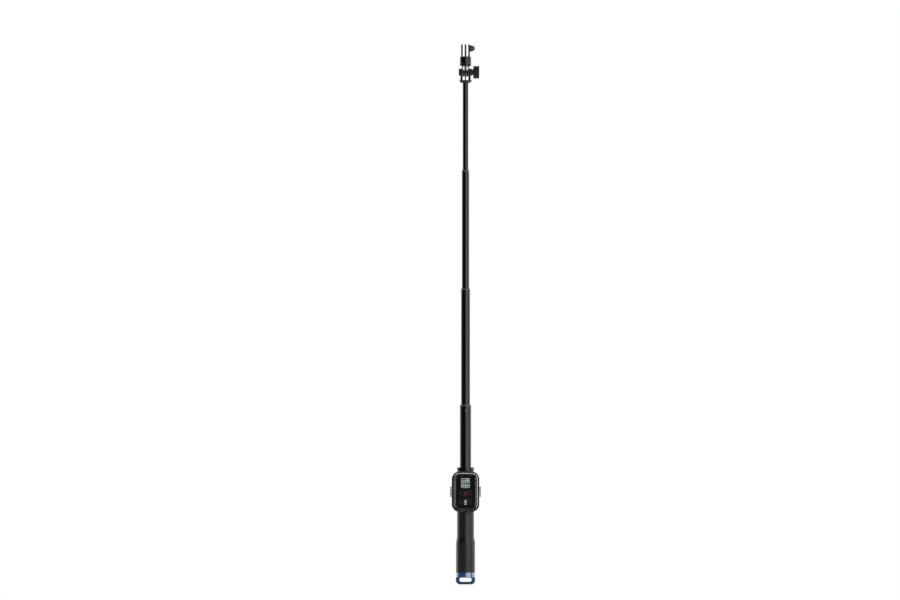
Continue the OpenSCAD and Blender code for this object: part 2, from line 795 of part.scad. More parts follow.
module knob_washer() {
    color("silver") difference() {
        bar_x(boss_d / 2 - 0.4, boss_x + 0.05, boss_x + 0.05 + washer_t, 0, hub_z);
        bar_x(bolt_d / 2 + running, boss_x - cut, knob_x + cut, 0, hub_z);
    }
}

module clamp_knob() {
    flute_r = 1;
    body_x = knob_x + knob_neck;
    edge = 1;
    color("#121214") difference() {
        union() {
            bar_x(boss_d / 2 - 0.6, knob_x, body_x + 0.5, 0, hub_z);
            translate([body_x, 0, hub_z]) rotate([0, 90, 0])
                linear_extrude(knob_length - edge) difference() {
                    circle(d = knob_d);
                    for (i = [0 : knob_flutes - 1]) rotate(360 * i / knob_flutes)
                        translate([knob_d / 2 + 0.3, 0]) circle(flute_r, $fn = 32);
                }
            translate([body_x + knob_length - edge, 0, hub_z]) rotate([0, 90, 0])
                cylinder(d1 = knob_d - 1.4, d2 = knob_d - 1.4 - 2 * edge, h = edge);
        }
        bar_x(bolt_d / 2 + bond, knob_x - cut, knob_end_x, 0, hub_z);
        hex_x(nut_flats + 0.2, knob_end_x - 4.4, knob_end_x + cut, hub_z);
        bar_x(6.6, knob_end_x - 1.1, knob_end_x + cut, 0, hub_z);
    }
}

module knob_cap() {
    color("#1c1c1f") bar_x(6.5, knob_end_x - 1, knob_end_x - 0.1, 0, hub_z);
}

module swivel_base() {
    neck_foot = fork_r + 0.5;
    neck_x = ear_x + 1.5;
    core_out = tongue_t - 2;
    color("#18191b") difference() {
        union() {
            for (x = [tongue_x, -tongue_x - tongue_t])
                eye(x, tongue_t, tongue_r, neck_half_depth, seat_height + cut, hub_z);
            translate([-neck_x, -neck_half_depth, hub_z + neck_foot])
                cube([2 * neck_x, 2 * neck_half_depth, seat_height - neck_foot + cut]);
            translate([0, 0, seat_z]) cylinder(d1 = swivel_d - 3, d2 = swivel_d, h = 1.8);
            translate([0, 0, seat_z + 1.8]) cylinder(d = swivel_d, h = disc_height - 1.8);
            translate([0, 0, seat_z + disc_height - 1])
                cylinder(d = swivel_spigot_d, h = 0.4 + 1 + 9);
        }
        for (x = [tongue_x + 1, -tongue_x - 1 - core_out])
            translate([x, -neck_half_depth - 2, hub_z + bolt_d / 2 + 1.7])
                cube([core_out, 2 * neck_half_depth + 4, seat_height - bolt_d / 2 - 1.7]);
        bar_x(bolt_d / 2 + running, -ear_x, ear_x, 0, hub_z);
        pipe(swivel_spigot_d, swivel_spigot_d / 2 - groove_depth, groove_z - groove_h / 2,
             groove_z + groove_h / 2);
    }
}

module swivel_washer() {
    color("#d8d4c8") pipe(swivel_d / 2 - 0.6, swivel_spigot_d / 2 + running,
                          seat_z + disc_height, barrel_z - 0.1);
}

module finger_mount() {
    shoulder = 1.8;
    color("#26272a") difference() {
        union() {
            translate([0, 0, barrel_z]) cylinder(d = swivel_d - 0.5, h = barrel_height - shoulder);
            translate([0, 0, finger_z - shoulder])
                cylinder(d1 = swivel_d - 0.5, d2 = swivel_d - 3, h = shoulder);
            intersection() {
                for (i = [-1 : 1])
                    eye(i * finger_pitch - finger_t / 2, finger_t, finger_r, finger_r,
                        -finger_rise - 1.5, finger_hole_z);
                translate([0, 0, finger_z - shoulder])
                    cylinder(d = swivel_d, h = 2 * finger_rise + shoulder);
            }
        }
        translate([0, 0, barrel_z - cut])
            cylinder(d = swivel_spigot_d + 2 * running, h = 9.4 + cut);
        bar_x(finger_hole_d / 2, -finger_out_x - cut, finger_out_x + cut, 0, finger_hole_z);
        translate([0, 0, groove_z]) rotate([-90, 0, 0]) cylinder(r = 1.25, h = swivel_d, $fn = 32);
    }
}

module swivel_screw() {
    tip_y = swivel_spigot_d / 2 - groove_depth + running;
    screw_l = swivel_d / 2 - 0.9 - tip_y;
    color("silver") translate([0, tip_y, groove_z]) rotate([-90, 0, 0]) difference() {
        cylinder(r = 1.2, h = screw_l, $fn = 32);
        translate([0, 0, screw_l - 1]) cylinder(r = 0.7, h = 1 + cut, $fn = 6);
    }
}

// Dome over the captive nut, with a round profile
module nut_cap() {
    steps = 12;
    dome = nut_cap_length * 1.1;
    profile = [for (i = [0 : steps]) let (h = nut_cap_length * i / steps)
        [nut_cap_d / 2 * sqrt(1 - pow(h / dome, 2)), h]];
    color("#18191b") translate([finger_out_x, 0, finger_hole_z]) rotate([0, 90, 0])
        difference() {
            rotate_extrude() polygon(concat([[0, 0]], profile, [[0, nut_cap_length]]));
            translate([0, 0, -cut])
                cylinder(r = (nut_flats + 0.2) / sqrt(3), h = nut_t + 0.2 + cut, $fn = 6);
            cylinder(r = finger_hole_d / 2 + 0.5, h = nut_cap_length - 2);
        }
}

module camera_nut() {
    color("goldenrod") difference() {
        hex_x(nut_flats, finger_out_x + 0.1, finger_out_x + nut_t + 0.1, finger_hole_z);
        bar_x(2.1, finger_out_x - cut, finger_out_x + nut_t + cut, 0, finger_hole_z);
    }
}

strap_loop();
accent_ring();
end_seal();
handle_core();
grip_sleeve();
collar_ring();
cradle_base();
cradle_screws();
pocket_pad();
hinge_pin();
clear_frame();
remote_front_shell();
remote_back_shell();
remote_window();
remote_display();
remote_upper_button();
remote_lower_button();
remote_circuit_board();
remote_switches();
remote_battery();
remote_screws();
tube_1();
guide_ring(0);  // guide_ring_1
collet(1);  // collet_2
expander_cone(1);  // expander_cone_2
lock_plug(1);  // lock_plug_2
stop_sleeve(1);  // stop_sleeve_2
tube_2();
guide_ring(1);  // guide_ring_2
collet(2);  // collet_3
expander_cone(2);  // expander_cone_3
lock_plug(2);  // lock_plug_3
stop_sleeve(2);  // stop_sleeve_3
tube_3();
guide_ring(2);  // guide_ring_3
collet(3);  // collet_4
expander_cone(3);  // expander_cone_4
lock_plug(3);  // lock_plug_4
stop_sleeve(3);  // stop_sleeve_4
tube_4();
head_fork();
pivot_nut();
pivot_bolt();
knob_washer();
clamp_knob();
knob_cap();
swivel_base();
swivel_washer();
finger_mount();
swivel_screw();
nut_cap();
camera_nut();
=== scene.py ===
# %% [markdown]
# # A telescoping camera pole
# This lesson dresses a finished mechanical model. The frame already holds every solid of the
# pole, in metres, with +Z up the pole and -Y its front. Here those solids get their finishes, and
# the ones that a hand or an eye meets are modelled again with round edges and fine detail.

# %% Load the frame
import json
import math

import bmesh
import bpy
from mathutils import Matrix, Vector


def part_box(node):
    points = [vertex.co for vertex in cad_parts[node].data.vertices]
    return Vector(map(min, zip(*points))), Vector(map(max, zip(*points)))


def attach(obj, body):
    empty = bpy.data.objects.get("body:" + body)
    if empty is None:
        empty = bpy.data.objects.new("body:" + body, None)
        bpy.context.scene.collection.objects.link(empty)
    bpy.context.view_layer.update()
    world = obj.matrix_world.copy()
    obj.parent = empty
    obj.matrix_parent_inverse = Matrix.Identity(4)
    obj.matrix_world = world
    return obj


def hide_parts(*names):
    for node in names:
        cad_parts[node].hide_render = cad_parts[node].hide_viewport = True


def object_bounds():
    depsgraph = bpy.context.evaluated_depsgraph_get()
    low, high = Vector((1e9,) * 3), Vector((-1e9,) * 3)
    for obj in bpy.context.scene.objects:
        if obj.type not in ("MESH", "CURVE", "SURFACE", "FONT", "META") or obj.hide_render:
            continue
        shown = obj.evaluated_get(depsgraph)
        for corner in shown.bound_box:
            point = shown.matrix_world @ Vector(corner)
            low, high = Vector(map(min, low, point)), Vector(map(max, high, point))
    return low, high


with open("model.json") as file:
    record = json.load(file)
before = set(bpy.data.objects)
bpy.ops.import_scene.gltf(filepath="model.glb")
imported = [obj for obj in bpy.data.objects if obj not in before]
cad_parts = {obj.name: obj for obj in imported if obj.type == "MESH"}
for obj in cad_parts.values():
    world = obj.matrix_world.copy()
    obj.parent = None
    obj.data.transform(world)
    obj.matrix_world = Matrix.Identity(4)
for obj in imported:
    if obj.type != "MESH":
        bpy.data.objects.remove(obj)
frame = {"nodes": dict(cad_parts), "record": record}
cad_low, cad_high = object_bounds()
nodes = frame["nodes"]
MM = 0.001
print("pole", [round((b - a) / MM, 1) for a, b in zip(cad_low, cad_high)], "mm")

# %% [markdown]
# ## Camera and light
# The pole is very long and thin, so a parallel view from square in front shows it best. Satin
# black tubes look like nothing under even light. They need a bright back for their rims, one
# broad light to the right that draws a grey band down them, and darkness at the left for
# contrast. A world that changes with the compass direction does all three with little noise.

# %% Camera
VIEW_WIDTH = 1.584
CAMERA_PLACE = (-0.0273, -3.0, 0.5006)
camera_data = bpy.data.cameras.new("camera")
camera_data.type = "ORTHO"
camera_data.ortho_scale = VIEW_WIDTH
camera = bpy.data.objects.new("camera", camera_data)
camera.location = CAMERA_PLACE
camera.rotation_euler = (math.radians(90), 0, 0)
bpy.context.scene.collection.objects.link(camera)
bpy.context.scene.camera = camera
bpy.context.scene.view_settings.view_transform = "Standard"
print("camera sees", VIEW_WIDTH, "m across")

# %% [markdown]
# The studio is a world shader, not lamps. A real studio gets this look with a big softbox to the
# right and black cards to the left. A colour ramp over the compass direction says the same thing
# in one table. Camera rays skip the ramp and see plain white. A pale floor lies under the pole,
# and it is kept small, so that it doesn't fill the dark tones with bounced light.

# %% Studio
# Compass direction from the camera's side, in degrees to the right, and the light from there
STUDIO = [(-180, 1.6), (-112, 1.6), (-96, 0.25), (-80, 0.02), (-2, 0.0), (9, 1.2), (18, 1.9),
          (60, 1.9), (67, 0.3), (80, 0.25), (90, 1.6), (130, 1.3), (150, 1.4), (180, 1.6)]
STRENGTH = 2.0
# Light from overhead takes over from the compass light between these two heights of direction
OVERHEAD, OVERHEAD_FROM, OVERHEAD_FULL, OVERHEAD_SHARE = 0.15, 0.6, 0.95, 0.9
FLOOR_HALF, FLOOR_DROP, FLOOR_WHITE = 0.8, 0.0005, 0.93


def white_studio():
    world = bpy.data.worlds.new("studio")
    bpy.context.scene.world = world
    world.use_nodes = True
    tree = world.node_tree
    tree.nodes.clear()
    make, join = tree.nodes.new, tree.links.new
    place = make("ShaderNodeTexCoord")
    split = make("ShaderNodeSeparateXYZ")
    join(place.outputs["Generated"], split.inputs[0])
    front_way = make("ShaderNodeMath")
    front_way.operation = "MULTIPLY"
    front_way.inputs[1].default_value = -1
    join(split.outputs["Y"], front_way.inputs[0])
    compass = make("ShaderNodeMath")
    compass.operation = "ARCTAN2"
    join(split.outputs["X"], compass.inputs[0])
    join(front_way.outputs[0], compass.inputs[1])
    turn = make("ShaderNodeMapRange")
    turn.inputs["From Min"].default_value = -math.pi
    turn.inputs["From Max"].default_value = math.pi
    join(compass.outputs[0], turn.inputs["Value"])
    ramp = make("ShaderNodeValToRGB")
    stops = ramp.color_ramp.elements
    while len(stops) < len(STUDIO):
        stops.new(0.5)
    for stop, (degrees, light) in zip(stops, STUDIO):
        stop.position = degrees / 360 + 0.5
        stop.color = (*[light / STRENGTH] * 3, 1)
    join(turn.outputs["Result"], ramp.inputs["Fac"])
    overhead = make("ShaderNodeMapRange")
    overhead.inputs["From Min"].default_value = OVERHEAD_FROM
    overhead.inputs["From Max"].default_value = OVERHEAD_FULL
    overhead.inputs["To Max"].default_value = OVERHEAD_SHARE
    join(split.outputs["Z"], overhead.inputs["Value"])
    whole = make("ShaderNodeMixRGB")
    whole.inputs["Color2"].default_value = (*[OVERHEAD] * 3, 1)
    join(overhead.outputs["Result"], whole.inputs["Fac"])
    join(ramp.outputs["Color"], whole.inputs["Color1"])
    lit = make("ShaderNodeBackground")
    lit.inputs["Strength"].default_value = STRENGTH
    join(whole.outputs["Color"], lit.inputs["Color"])
    seen = make("ShaderNodeBackground")
    seen.inputs["Color"].default_value = (1, 1, 1, 1)
    path = make("ShaderNodeLightPath")
    mix = make("ShaderNodeMixShader")
    out = make("ShaderNodeOutputWorld")
    join(path.outputs["Is Camera Ray"], mix.inputs["Fac"])
    join(lit.outputs[0], mix.inputs[1])
    join(seen.outputs[0], mix.inputs[2])
    join(mix.outputs[0], out.inputs["Surface"])


def make_floor():
    mesh = bpy.data.meshes.new("floor")
    shape = bmesh.new()
    bmesh.ops.create_grid(shape, x_segments=1, y_segments=1, size=FLOOR_HALF)
    bmesh.ops.translate(shape, verts=shape.verts, vec=(0, 0, cad_low.z - FLOOR_DROP))
    shape.to_mesh(mesh)
    shape.free()
    floor = bpy.data.objects.new("floor", mesh)
    bpy.context.scene.collection.objects.link(floor)
    paint = bpy.data.materials.new("floor_paint")
    paint.use_nodes = True
    shader = paint.node_tree.nodes["Principled BSDF"]
    shader.inputs["Base Color"].default_value = (*[FLOOR_WHITE] * 3, 1)
    shader.inputs["Roughness"].default_value = 0.8
    mesh.materials.append(paint)


white_studio()
make_floor()
print("studio of", len(STUDIO), "directions over a floor at", round(cad_low.z / MM, 2), "mm")

# %% [markdown]
# ## Finishes
# Each finish is a small function that returns one material. They share a starter that makes the
# Principled shader, and noise that is laid in the piece's own coordinates. A constant goes
# straight on the shader's socket. Only what really varies over the surface, such as grain or
# cloudiness, comes from nodes.


# %% Material starter
def finish(name, colour, roughness, metallic=0.0):
    """A new material, its node tree and its Principled shader."""
    material = bpy.data.materials.new(name)
    material.use_nodes = True
    tree = material.node_tree
    shader = tree.nodes["Principled BSDF"]
    shader.inputs["Base Color"].default_value = (*colour, 1)
    shader.inputs["Roughness"].default_value = roughness
    shader.inputs["Metallic"].default_value = metallic
    return material, tree, shader


def object_noise(tree, scale, stretch=(1, 1, 1), detail=3.0):
    """Noise in the piece's own metres, stretched along one axis for brushed or drawn metal."""
    place = tree.nodes.new("ShaderNodeTexCoord")
    mapping = tree.nodes.new("ShaderNodeMapping")
    mapping.inputs["Scale"].default_value = stretch
    noise = tree.nodes.new("ShaderNodeTexNoise")
    noise.inputs["Scale"].default_value = scale
    noise.inputs["Detail"].default_value = detail
    tree.links.new(place.outputs["Object"], mapping.inputs["Vector"])
    tree.links.new(mapping.outputs["Vector"], noise.inputs["Vector"])
    return noise.outputs["Fac"]


def spread(tree, source, low, high):
    """Maps a 0 to 1 source onto the range low to high."""
    remap = tree.nodes.new("ShaderNodeMapRange")
    remap.inputs["From Min"].default_value = 0.3
    remap.inputs["From Max"].default_value = 0.7
    remap.inputs["To Min"].default_value = low
    remap.inputs["To Max"].default_value = high
    tree.links.new(source, remap.inputs["Value"])
    return remap.outputs["Result"]


def bump(tree, shader, source, strength, depth):
    relief = tree.nodes.new("ShaderNodeBump")
    relief.inputs["Strength"].default_value = strength
    relief.inputs["Distance"].default_value = depth
    tree.links.new(source, relief.inputs["Height"])
    tree.links.new(relief.outputs["Normal"], shader.inputs["Normal"])


def tint(tree, shader, source, dark, light):
    """Mixes two colours by a source: real cloudiness, and the clear bead's painted highlight."""
    ramp = tree.nodes.new("ShaderNodeValToRGB")
    ramp.color_ramp.elements[0].position = 0.35
    ramp.color_ramp.elements[0].color = (*dark, 1)
    ramp.color_ramp.elements[1].position = 0.65
    ramp.color_ramp.elements[1].color = (*light, 1)
    tree.links.new(source, ramp.inputs["Fac"])
    tree.links.new(ramp.outputs["Color"], shader.inputs["Base Color"])


# %% [markdown]
# Anodised tube is a dark dielectric layer over metal, so a plain dark Principled with a raised
# specular reads better than a metallic one. Drawing the tube leaves fine lines along it, which
# noise stretched along Z gives. The blue ring is dyed and then polished. A clear coat with a high
# index of refraction gives its pale, hard reflection over a deep blue.

# %% Metals
def black_anodised():
    material, tree, shader = finish("black_anodised", (0.003, 0.003, 0.0033), 0.22)
    shader.inputs["Specular IOR Level"].default_value = 0.55
    drawn = object_noise(tree, 900, (1, 1, 0.02))
    tree.links.new(spread(tree, drawn, 0.18, 0.26), shader.inputs["Roughness"])
    cloud = object_noise(tree, 60, (1, 1, 0.3))
    tint(tree, shader, cloud, (0.0025, 0.0025, 0.0028), (0.004, 0.004, 0.0044))
    bump(tree, shader, drawn, 0.08, 0.00005)
    return material


def blue_anodised():
    material, tree, shader = finish("blue_anodised", (0.007, 0.075, 0.27), 0.3)
    turned = object_noise(tree, 700, (0.05, 0.05, 6))
    tree.links.new(spread(tree, turned, 0.25, 0.35), shader.inputs["Roughness"])
    tint(tree, shader, turned, (0.006, 0.068, 0.25), (0.009, 0.082, 0.29))
    shader.inputs["Coat Weight"].default_value = 1.0
    shader.inputs["Coat IOR"].default_value = 2.5
    shader.inputs["Coat Roughness"].default_value = 0.06
    shader.inputs["Coat Tint"].default_value = (0.85, 0.93, 1, 1)
    return material


def steel():
    material, tree, shader = finish("zinc_plated_steel", (0.6, 0.61, 0.63), 0.28, 1.0)
    grain = object_noise(tree, 1500)
    tree.links.new(spread(tree, grain, 0.2, 0.38), shader.inputs["Roughness"])
    tint(tree, shader, object_noise(tree, 200), (0.52, 0.53, 0.56), (0.68, 0.69, 0.7))
    return material


def brass():
    material, tree, shader = finish("turned_brass", (0.72, 0.5, 0.2), 0.25, 1.0)
    grain = object_noise(tree, 1200, (6, 0.2, 0.2))
    tree.links.new(spread(tree, grain, 0.18, 0.34), shader.inputs["Roughness"])
    tint(tree, shader, grain, (0.66, 0.44, 0.16), (0.78, 0.56, 0.26))
    return material


# %% [markdown]
# Soft-touch rubber is almost black, and its soft highlight does all the work. Nylon is harder and
# shinier, with a fine moulded grain. Clear plastic could be made with transmission, but walls this
# thin would cost many samples for little bending of light. Partial opacity comes close to that
# look with less noise. The bead round the clear frame has a painted highlight: its colour is a
# slope across the piece, bright toward the upper right corner, on the lamp's side.

# %% Plastics and rubber
def soft_rubber():
    material, tree, shader = finish("soft_touch_rubber", (0.005, 0.0052, 0.0056), 0.34)
    grain = object_noise(tree, 2600, detail=2.0)
    tree.links.new(spread(tree, grain, 0.31, 0.37), shader.inputs["Roughness"])
    tint(tree, shader, object_noise(tree, 45), (0.004, 0.0042, 0.0046), (0.006, 0.0062, 0.0066))
    bump(tree, shader, grain, 0.12, 0.00006)
    return material


def moulded(name, dark, light, rough_low, rough_high, shine=0.5):
    """Fine spark-eroded grain, as on nearly every moulded plastic part."""
    material, tree, shader = finish(name, light, rough_high)
    shader.inputs["Specular IOR Level"].default_value = shine
    grain = object_noise(tree, 3200, detail=2.0)
    tree.links.new(spread(tree, grain, rough_low, rough_high), shader.inputs["Roughness"])
    tint(tree, shader, object_noise(tree, 80), dark, light)
    bump(tree, shader, grain, 0.12, 0.00005)
    return material


def see_through(name, dark, light, opacity, roughness):
    """Thin clear plastic: part of the light passes straight on, and the rest shows the surface."""
    material, tree, shader = finish(name, light, roughness)
    haze = object_noise(tree, 400)
    tree.links.new(spread(tree, haze, roughness, roughness + 0.05), shader.inputs["Roughness"])
    tint(tree, shader, object_noise(tree, 90), dark, light)
    shader.inputs["Alpha"].default_value = opacity
    return material


def painted_highlight_bead():
    """The frame's bead, with a painted highlight at its upper right, on the lamp's side."""
    material, tree, shader = finish("clear_bead_painted_highlight", (0.8, 0.8, 0.8), 0.2)
    place = tree.nodes.new("ShaderNodeTexCoord")
    lean = tree.nodes.new("ShaderNodeVectorMath")
    lean.operation = "DOT_PRODUCT"
    lean.inputs[1].default_value = (45, 0, 30)
    tree.links.new(place.outputs["Object"], lean.inputs[0])
    remap = tree.nodes.new("ShaderNodeMapRange")
    remap.inputs["From Min"].default_value = 4.4
    remap.inputs["From Max"].default_value = 5.5
    tree.links.new(lean.outputs["Value"], remap.inputs["Value"])
    tint(tree, shader, remap.outputs["Result"], (0.09,) * 3, (0.9,) * 3)
    shader.inputs["Alpha"].default_value = 0.8
    return material


def display_panel():
    material, tree, shader = finish("display_panel", (0.5, 0.6, 0.5), 0.5)
    tint(tree, shader, object_noise(tree, 260), (0.47, 0.57, 0.47), (0.53, 0.63, 0.53))
    return material


def circuit_board():
    material, tree, shader = finish("circuit_board", (0.01, 0.09, 0.03), 0.35)
    tint(tree, shader, object_noise(tree, 500), (0.008, 0.07, 0.025), (0.015, 0.11, 0.04))
    return material


def cell_foil():
    material, tree, shader = finish("cell_foil", (0.5, 0.51, 0.54), 0.35, 0.7)
    crease = object_noise(tree, 350, (1, 1, 4))
    tree.links.new(spread(tree, crease, 0.25, 0.45), shader.inputs["Roughness"])
    bump(tree, shader, crease, 0.3, 0.0002)
    return material


def foam():
    material, tree, shader = finish("closed_cell_foam", (0.06, 0.06, 0.065), 0.9)
    cells = tree.nodes.new("ShaderNodeTexVoronoi")
    cells.inputs["Scale"].default_value = 1800
    place = tree.nodes.new("ShaderNodeTexCoord")
    tree.links.new(place.outputs["Object"], cells.inputs["Vector"])
    bump(tree, shader, cells.outputs["Distance"], 0.6, 0.0002)
    return material


# %% [markdown]
# The record names a finish for every solid. This table turns each of those names into a material.
# The solids and the pieces that stand for them look their finish up here.

# %% Finishes by name
FINISHES = {
    "blue_plastic": moulded(
        "blue_nylon", (0.004, 0.06, 0.19), (0.006, 0.074, 0.23), 0.42, 0.55),
    "blue_anodised": blue_anodised(),
    "black_rubber": soft_rubber(),
    "core_plastic": moulded("core_plastic", (0.05, 0.05, 0.055), (0.07, 0.07, 0.075), 0.4, 0.55),
    "black_plastic": moulded(
        "black_nylon", (0.003, 0.003, 0.0035), (0.005, 0.005, 0.0055), 0.2, 0.28, 0.5),
    "clear_plastic": see_through("clear_flats", (0.03,) * 3, (0.04,) * 3, 0.14, 0.08),
    "remote_plastic": moulded(
        "remote_plastic", (0.003, 0.003, 0.003), (0.004, 0.004, 0.0045), 0.25, 0.35, 0.12),
    "window_plastic": see_through("display_window", (0.02,) * 3, (0.03,) * 3, 0.05, 0.06),
    "display": display_panel(),
    "button_rubber": moulded(
        "button_rubber", (0.005, 0.005, 0.005), (0.008, 0.008, 0.009), 0.5, 0.6, 0.2),
    "circuit_board": circuit_board(),
    "switch_metal": steel(),
    "battery": cell_foil(),
    "foam": foam(),
    "black_tube": black_anodised(),
    "guide_plastic": moulded(
        "guide_acetal", (0.07, 0.072, 0.078), (0.09, 0.092, 0.098), 0.32, 0.42),
    "lock_plastic": moulded("lock_nylon", (0.16, 0.165, 0.175), (0.2, 0.205, 0.215), 0.4, 0.5),
    "steel": steel(),
    "brass": brass(),
    "nylon_washer": moulded("washer_nylon", (0.02, 0.02, 0.022), (0.03, 0.03, 0.032), 0.35, 0.45),
}
print("finishes", len(FINISHES))

# %% [markdown]
# A few finishes belong to a part of a piece, such as the painted highlights and painted light
# of the clear frame's edges, bead, strips and ears, the ink of the reading and the prints on the
# keys. They are made here and given to faces later.

# %% Finishes of edges and prints
# Painted highlight: the frame's edge strips are a brighter copy of its clear flats.
CLEAR_EDGE_HIGHLIGHT = see_through("clear_edges_painted_highlight", (0.1,) * 3, (0.16,) * 3, 0.35, 0.1)
# Painted highlight: the bead's colour grows brighter toward its upper right.
CLEAR_BEAD_HIGHLIGHT = painted_highlight_bead()
# Painted light: the side strips stand for the frame's inner side walls lit through the lip.
CLEAR_LIT_STRIP = see_through("clear_strips_painted_light", (0.5,) * 3, (0.65,) * 3, 0.2, 0.2)
# Painted light: the clear ears are light grey for the light that comes through them from behind.
CLEAR_EAR_LIT = see_through("clear_ears_painted_light", (0.4,) * 3, (0.5,) * 3, 0.8, 0.15)
BLACK_OXIDE = moulded("black_oxide_steel", (0.012,) * 3, (0.02,) * 3, 0.3, 0.4)
INK = moulded("display_ink", (0.004, 0.005, 0.004), (0.008, 0.009, 0.008), 0.5, 0.6, 0.1)
RED_PRINT = moulded("red_print", (0.075, 0.006, 0.01), (0.1, 0.009, 0.013), 0.4, 0.5, 0.2)
WHITE_PRINT = moulded("white_print", (0.75, 0.75, 0.75), (0.85, 0.85, 0.85), 0.4, 0.5)
print("all materials", len(bpy.data.materials))

# %% [markdown]
# ## Shaping tools
# Nearly every piece of this pole is either turned or cut from a plate. So there are two makers,
# one that spins an outline round an axis and one that fills an outline with holes and gives it
# depth. Both work in millimetres. Edges are rounded afterwards, because moulded corners always
# have a small radius, and that radius is what catches the light.


# %% Outlines
def arc(x, y, radius, start, end, steps=8):
    """Points along an arc, from one angle to another in degrees."""
    angles = [math.radians(start + (end - start) * i / steps) for i in range(steps + 1)]
    return [(x + radius * math.cos(a), y + radius * math.sin(a)) for a in angles]


def circle(x, y, radius, steps=48):
    return arc(x, y, radius, 0, 360, steps)[:-1]


def rounded(width, height, radius, y=0.0, steps=8):
    """A rectangle with round corners, centred on height y."""
    side, rise = width / 2 - radius, height / 2 - radius
    corners = [(side, y + rise), (-side, y + rise), (-side, y - rise), (side, y - rise)]
    return [p for turn, (cx, cy) in enumerate(corners)
            for p in arc(cx, cy, radius, 90 * turn, 90 * turn + 90, steps)]


def eased(corners, steps=4):
    """Rounds the corners of an outline. A corner is (x, y) or (x, y, radius)."""
    points = []
    for i, corner in enumerate(corners):
        here = Vector(corner[:2])
        if len(corner) < 3:
            points.append(tuple(here))
            continue
        back = (Vector(corners[i - 1][:2]) - here).normalized()
        on = (Vector(corners[(i + 1) % len(corners)][:2]) - here).normalized()
        reach = corner[2] / math.tan(back.angle(on) / 2)
        for step in range(steps + 1):
            t = step / steps
            way = here + back * reach * (1 - t) ** 2 + on * reach * t ** 2
            points.append(tuple(way))
    return points


def size(node):
    """A node's lowest and highest corner in millimetres."""
    low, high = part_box(node)
    return Vector(low) / MM, Vector(high) / MM


# %% [markdown]
# A plate is an outline with holes that is filled and then extruded. The fill is triangles at
# first, and dissolving the flat edges leaves clean faces for the bevel. A lathe is an outline
# that spin carries round the axis. After either, doubles are merged where needed and the normals
# are made to point outwards.

# %% Makers
def front(u, v, depth):
    """A point of a plate that faces forwards: across, up, and forwards of the pole's axis."""
    return Vector((u, -depth, v)) * MM


def side(u, v, depth):
    """A point of a plate that faces sideways: depthwise, up, and out along X."""
    return Vector((depth, u, v)) * MM


def plate(place, loops, start, end):
    """A plate with holes. The first loop is its outline and the others are its holes."""
    shape = bmesh.new()
    rims = []
    for loop in loops:
        ring = [shape.verts.new(place(u, v, start)) for u, v in loop]
        rims += [shape.edges.new(pair) for pair in zip(ring, ring[1:] + ring[:1])]
    bmesh.ops.triangle_fill(shape, use_beauty=True, edges=rims)
    joins = [e for e in shape.edges if len(e.link_faces) == 2]
    bmesh.ops.dissolve_limit(shape, angle_limit=0.01, verts=[], edges=joins)
    raised = bmesh.ops.extrude_face_region(shape, geom=shape.faces[:])["geom"]
    moved = [g for g in raised if isinstance(g, bmesh.types.BMVert)]
    bmesh.ops.translate(shape, verts=moved, vec=place(0, 0, end) - place(0, 0, start))
    bmesh.ops.recalc_face_normals(shape, faces=shape.faces)
    return shape


def lathe(outline, steps=96):
    """Spins a closed outline of (radius, height) once round the pole's axis."""
    shape = bmesh.new()
    ring = [shape.verts.new((r * MM, 0, z * MM)) for r, z in outline]
    edges = [shape.edges.new(pair) for pair in zip(ring, ring[1:] + ring[:1])]
    bmesh.ops.spin(shape, geom=ring + edges, cent=(0, 0, 0), axis=(0, 0, 1), angle=math.tau,
                   steps=steps, use_merge=True)
    bmesh.ops.remove_doubles(shape, verts=shape.verts, dist=0.000002)
    loose = [e for e in shape.edges if not e.link_faces]
    bmesh.ops.delete(shape, geom=loose, context="EDGES")
    bmesh.ops.recalc_face_normals(shape, faces=shape.faces)
    return shape


def along_x(shape, height):
    """Lays a turned shape along +X at a height on the pole."""
    lay = Matrix.Translation((0, 0, height * MM)) @ Matrix.Rotation(math.radians(90), 4, "Y")
    shape.transform(lay)
    return shape


CORNER_ANGLE = math.radians(50)


def soften(shape, radius, segments=3, only=lambda edge: True):
    """Rounds the sharp edges and returns the shape. The new strips get material 1."""
    sharp = [e for e in shape.edges if len(e.link_faces) == 2 and only(e)
             and e.calc_face_angle() > CORNER_ANGLE]
    made = bmesh.ops.bevel(shape, geom=sharp, offset=radius * MM, offset_type="OFFSET",
                           segments=segments, profile=0.5, affect="EDGES", clamp_overlap=False,
                           material=-1)
    for face in made["faces"]:
        face.material_index = 1
    return shape


def combine(*shapes):
    """Puts several shells in one shape."""
    whole = bmesh.new()
    for shape in shapes:
        part = bpy.data.meshes.new("part")
        shape.to_mesh(part)
        shape.free()
        whole.from_mesh(part)
        bpy.data.meshes.remove(part)
    return whole


SHARP_ANGLE = math.radians(38)


def piece(name, shape, body, nodes_replaced, slot, edge_finish=None):
    """Turns a shape into a named piece that rides on a body and stands for CAD nodes."""
    mesh = bpy.data.meshes.new(name)
    bmesh.ops.recalc_face_normals(shape, faces=shape.faces)
    shape.to_mesh(mesh)
    shape.free()
    mesh.materials.append(FINISHES[slot])
    mesh.materials.append(edge_finish or FINISHES[slot])
    mesh.shade_smooth()
    mesh.set_sharp_from_angle(angle=SHARP_ANGLE)
    thing = bpy.data.objects.new(name, mesh)
    bpy.context.scene.collection.objects.link(thing)
    even = thing.modifiers.new("even_normals", "WEIGHTED_NORMAL")
    even.keep_sharp = True
    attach(thing, body)
    if nodes_replaced:
        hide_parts(*nodes_replaced)
    return thing


def show(*things):
    """Prints what was made and how big it is."""
    for thing in things:
        print(thing.name, [round(v / MM, 1) for v in thing.dimensions], "mm")


print("tools ready")

# %% [markdown]
# ## Strap loop and coloured ring
# The loop is glass-filled nylon, moulded in one with the plug that closes the handle. It could be
# a bent bar, but the real one is a flat plate with a slot, so it is cut as one. Its edges are
# well rounded so that a strap doesn't fray.

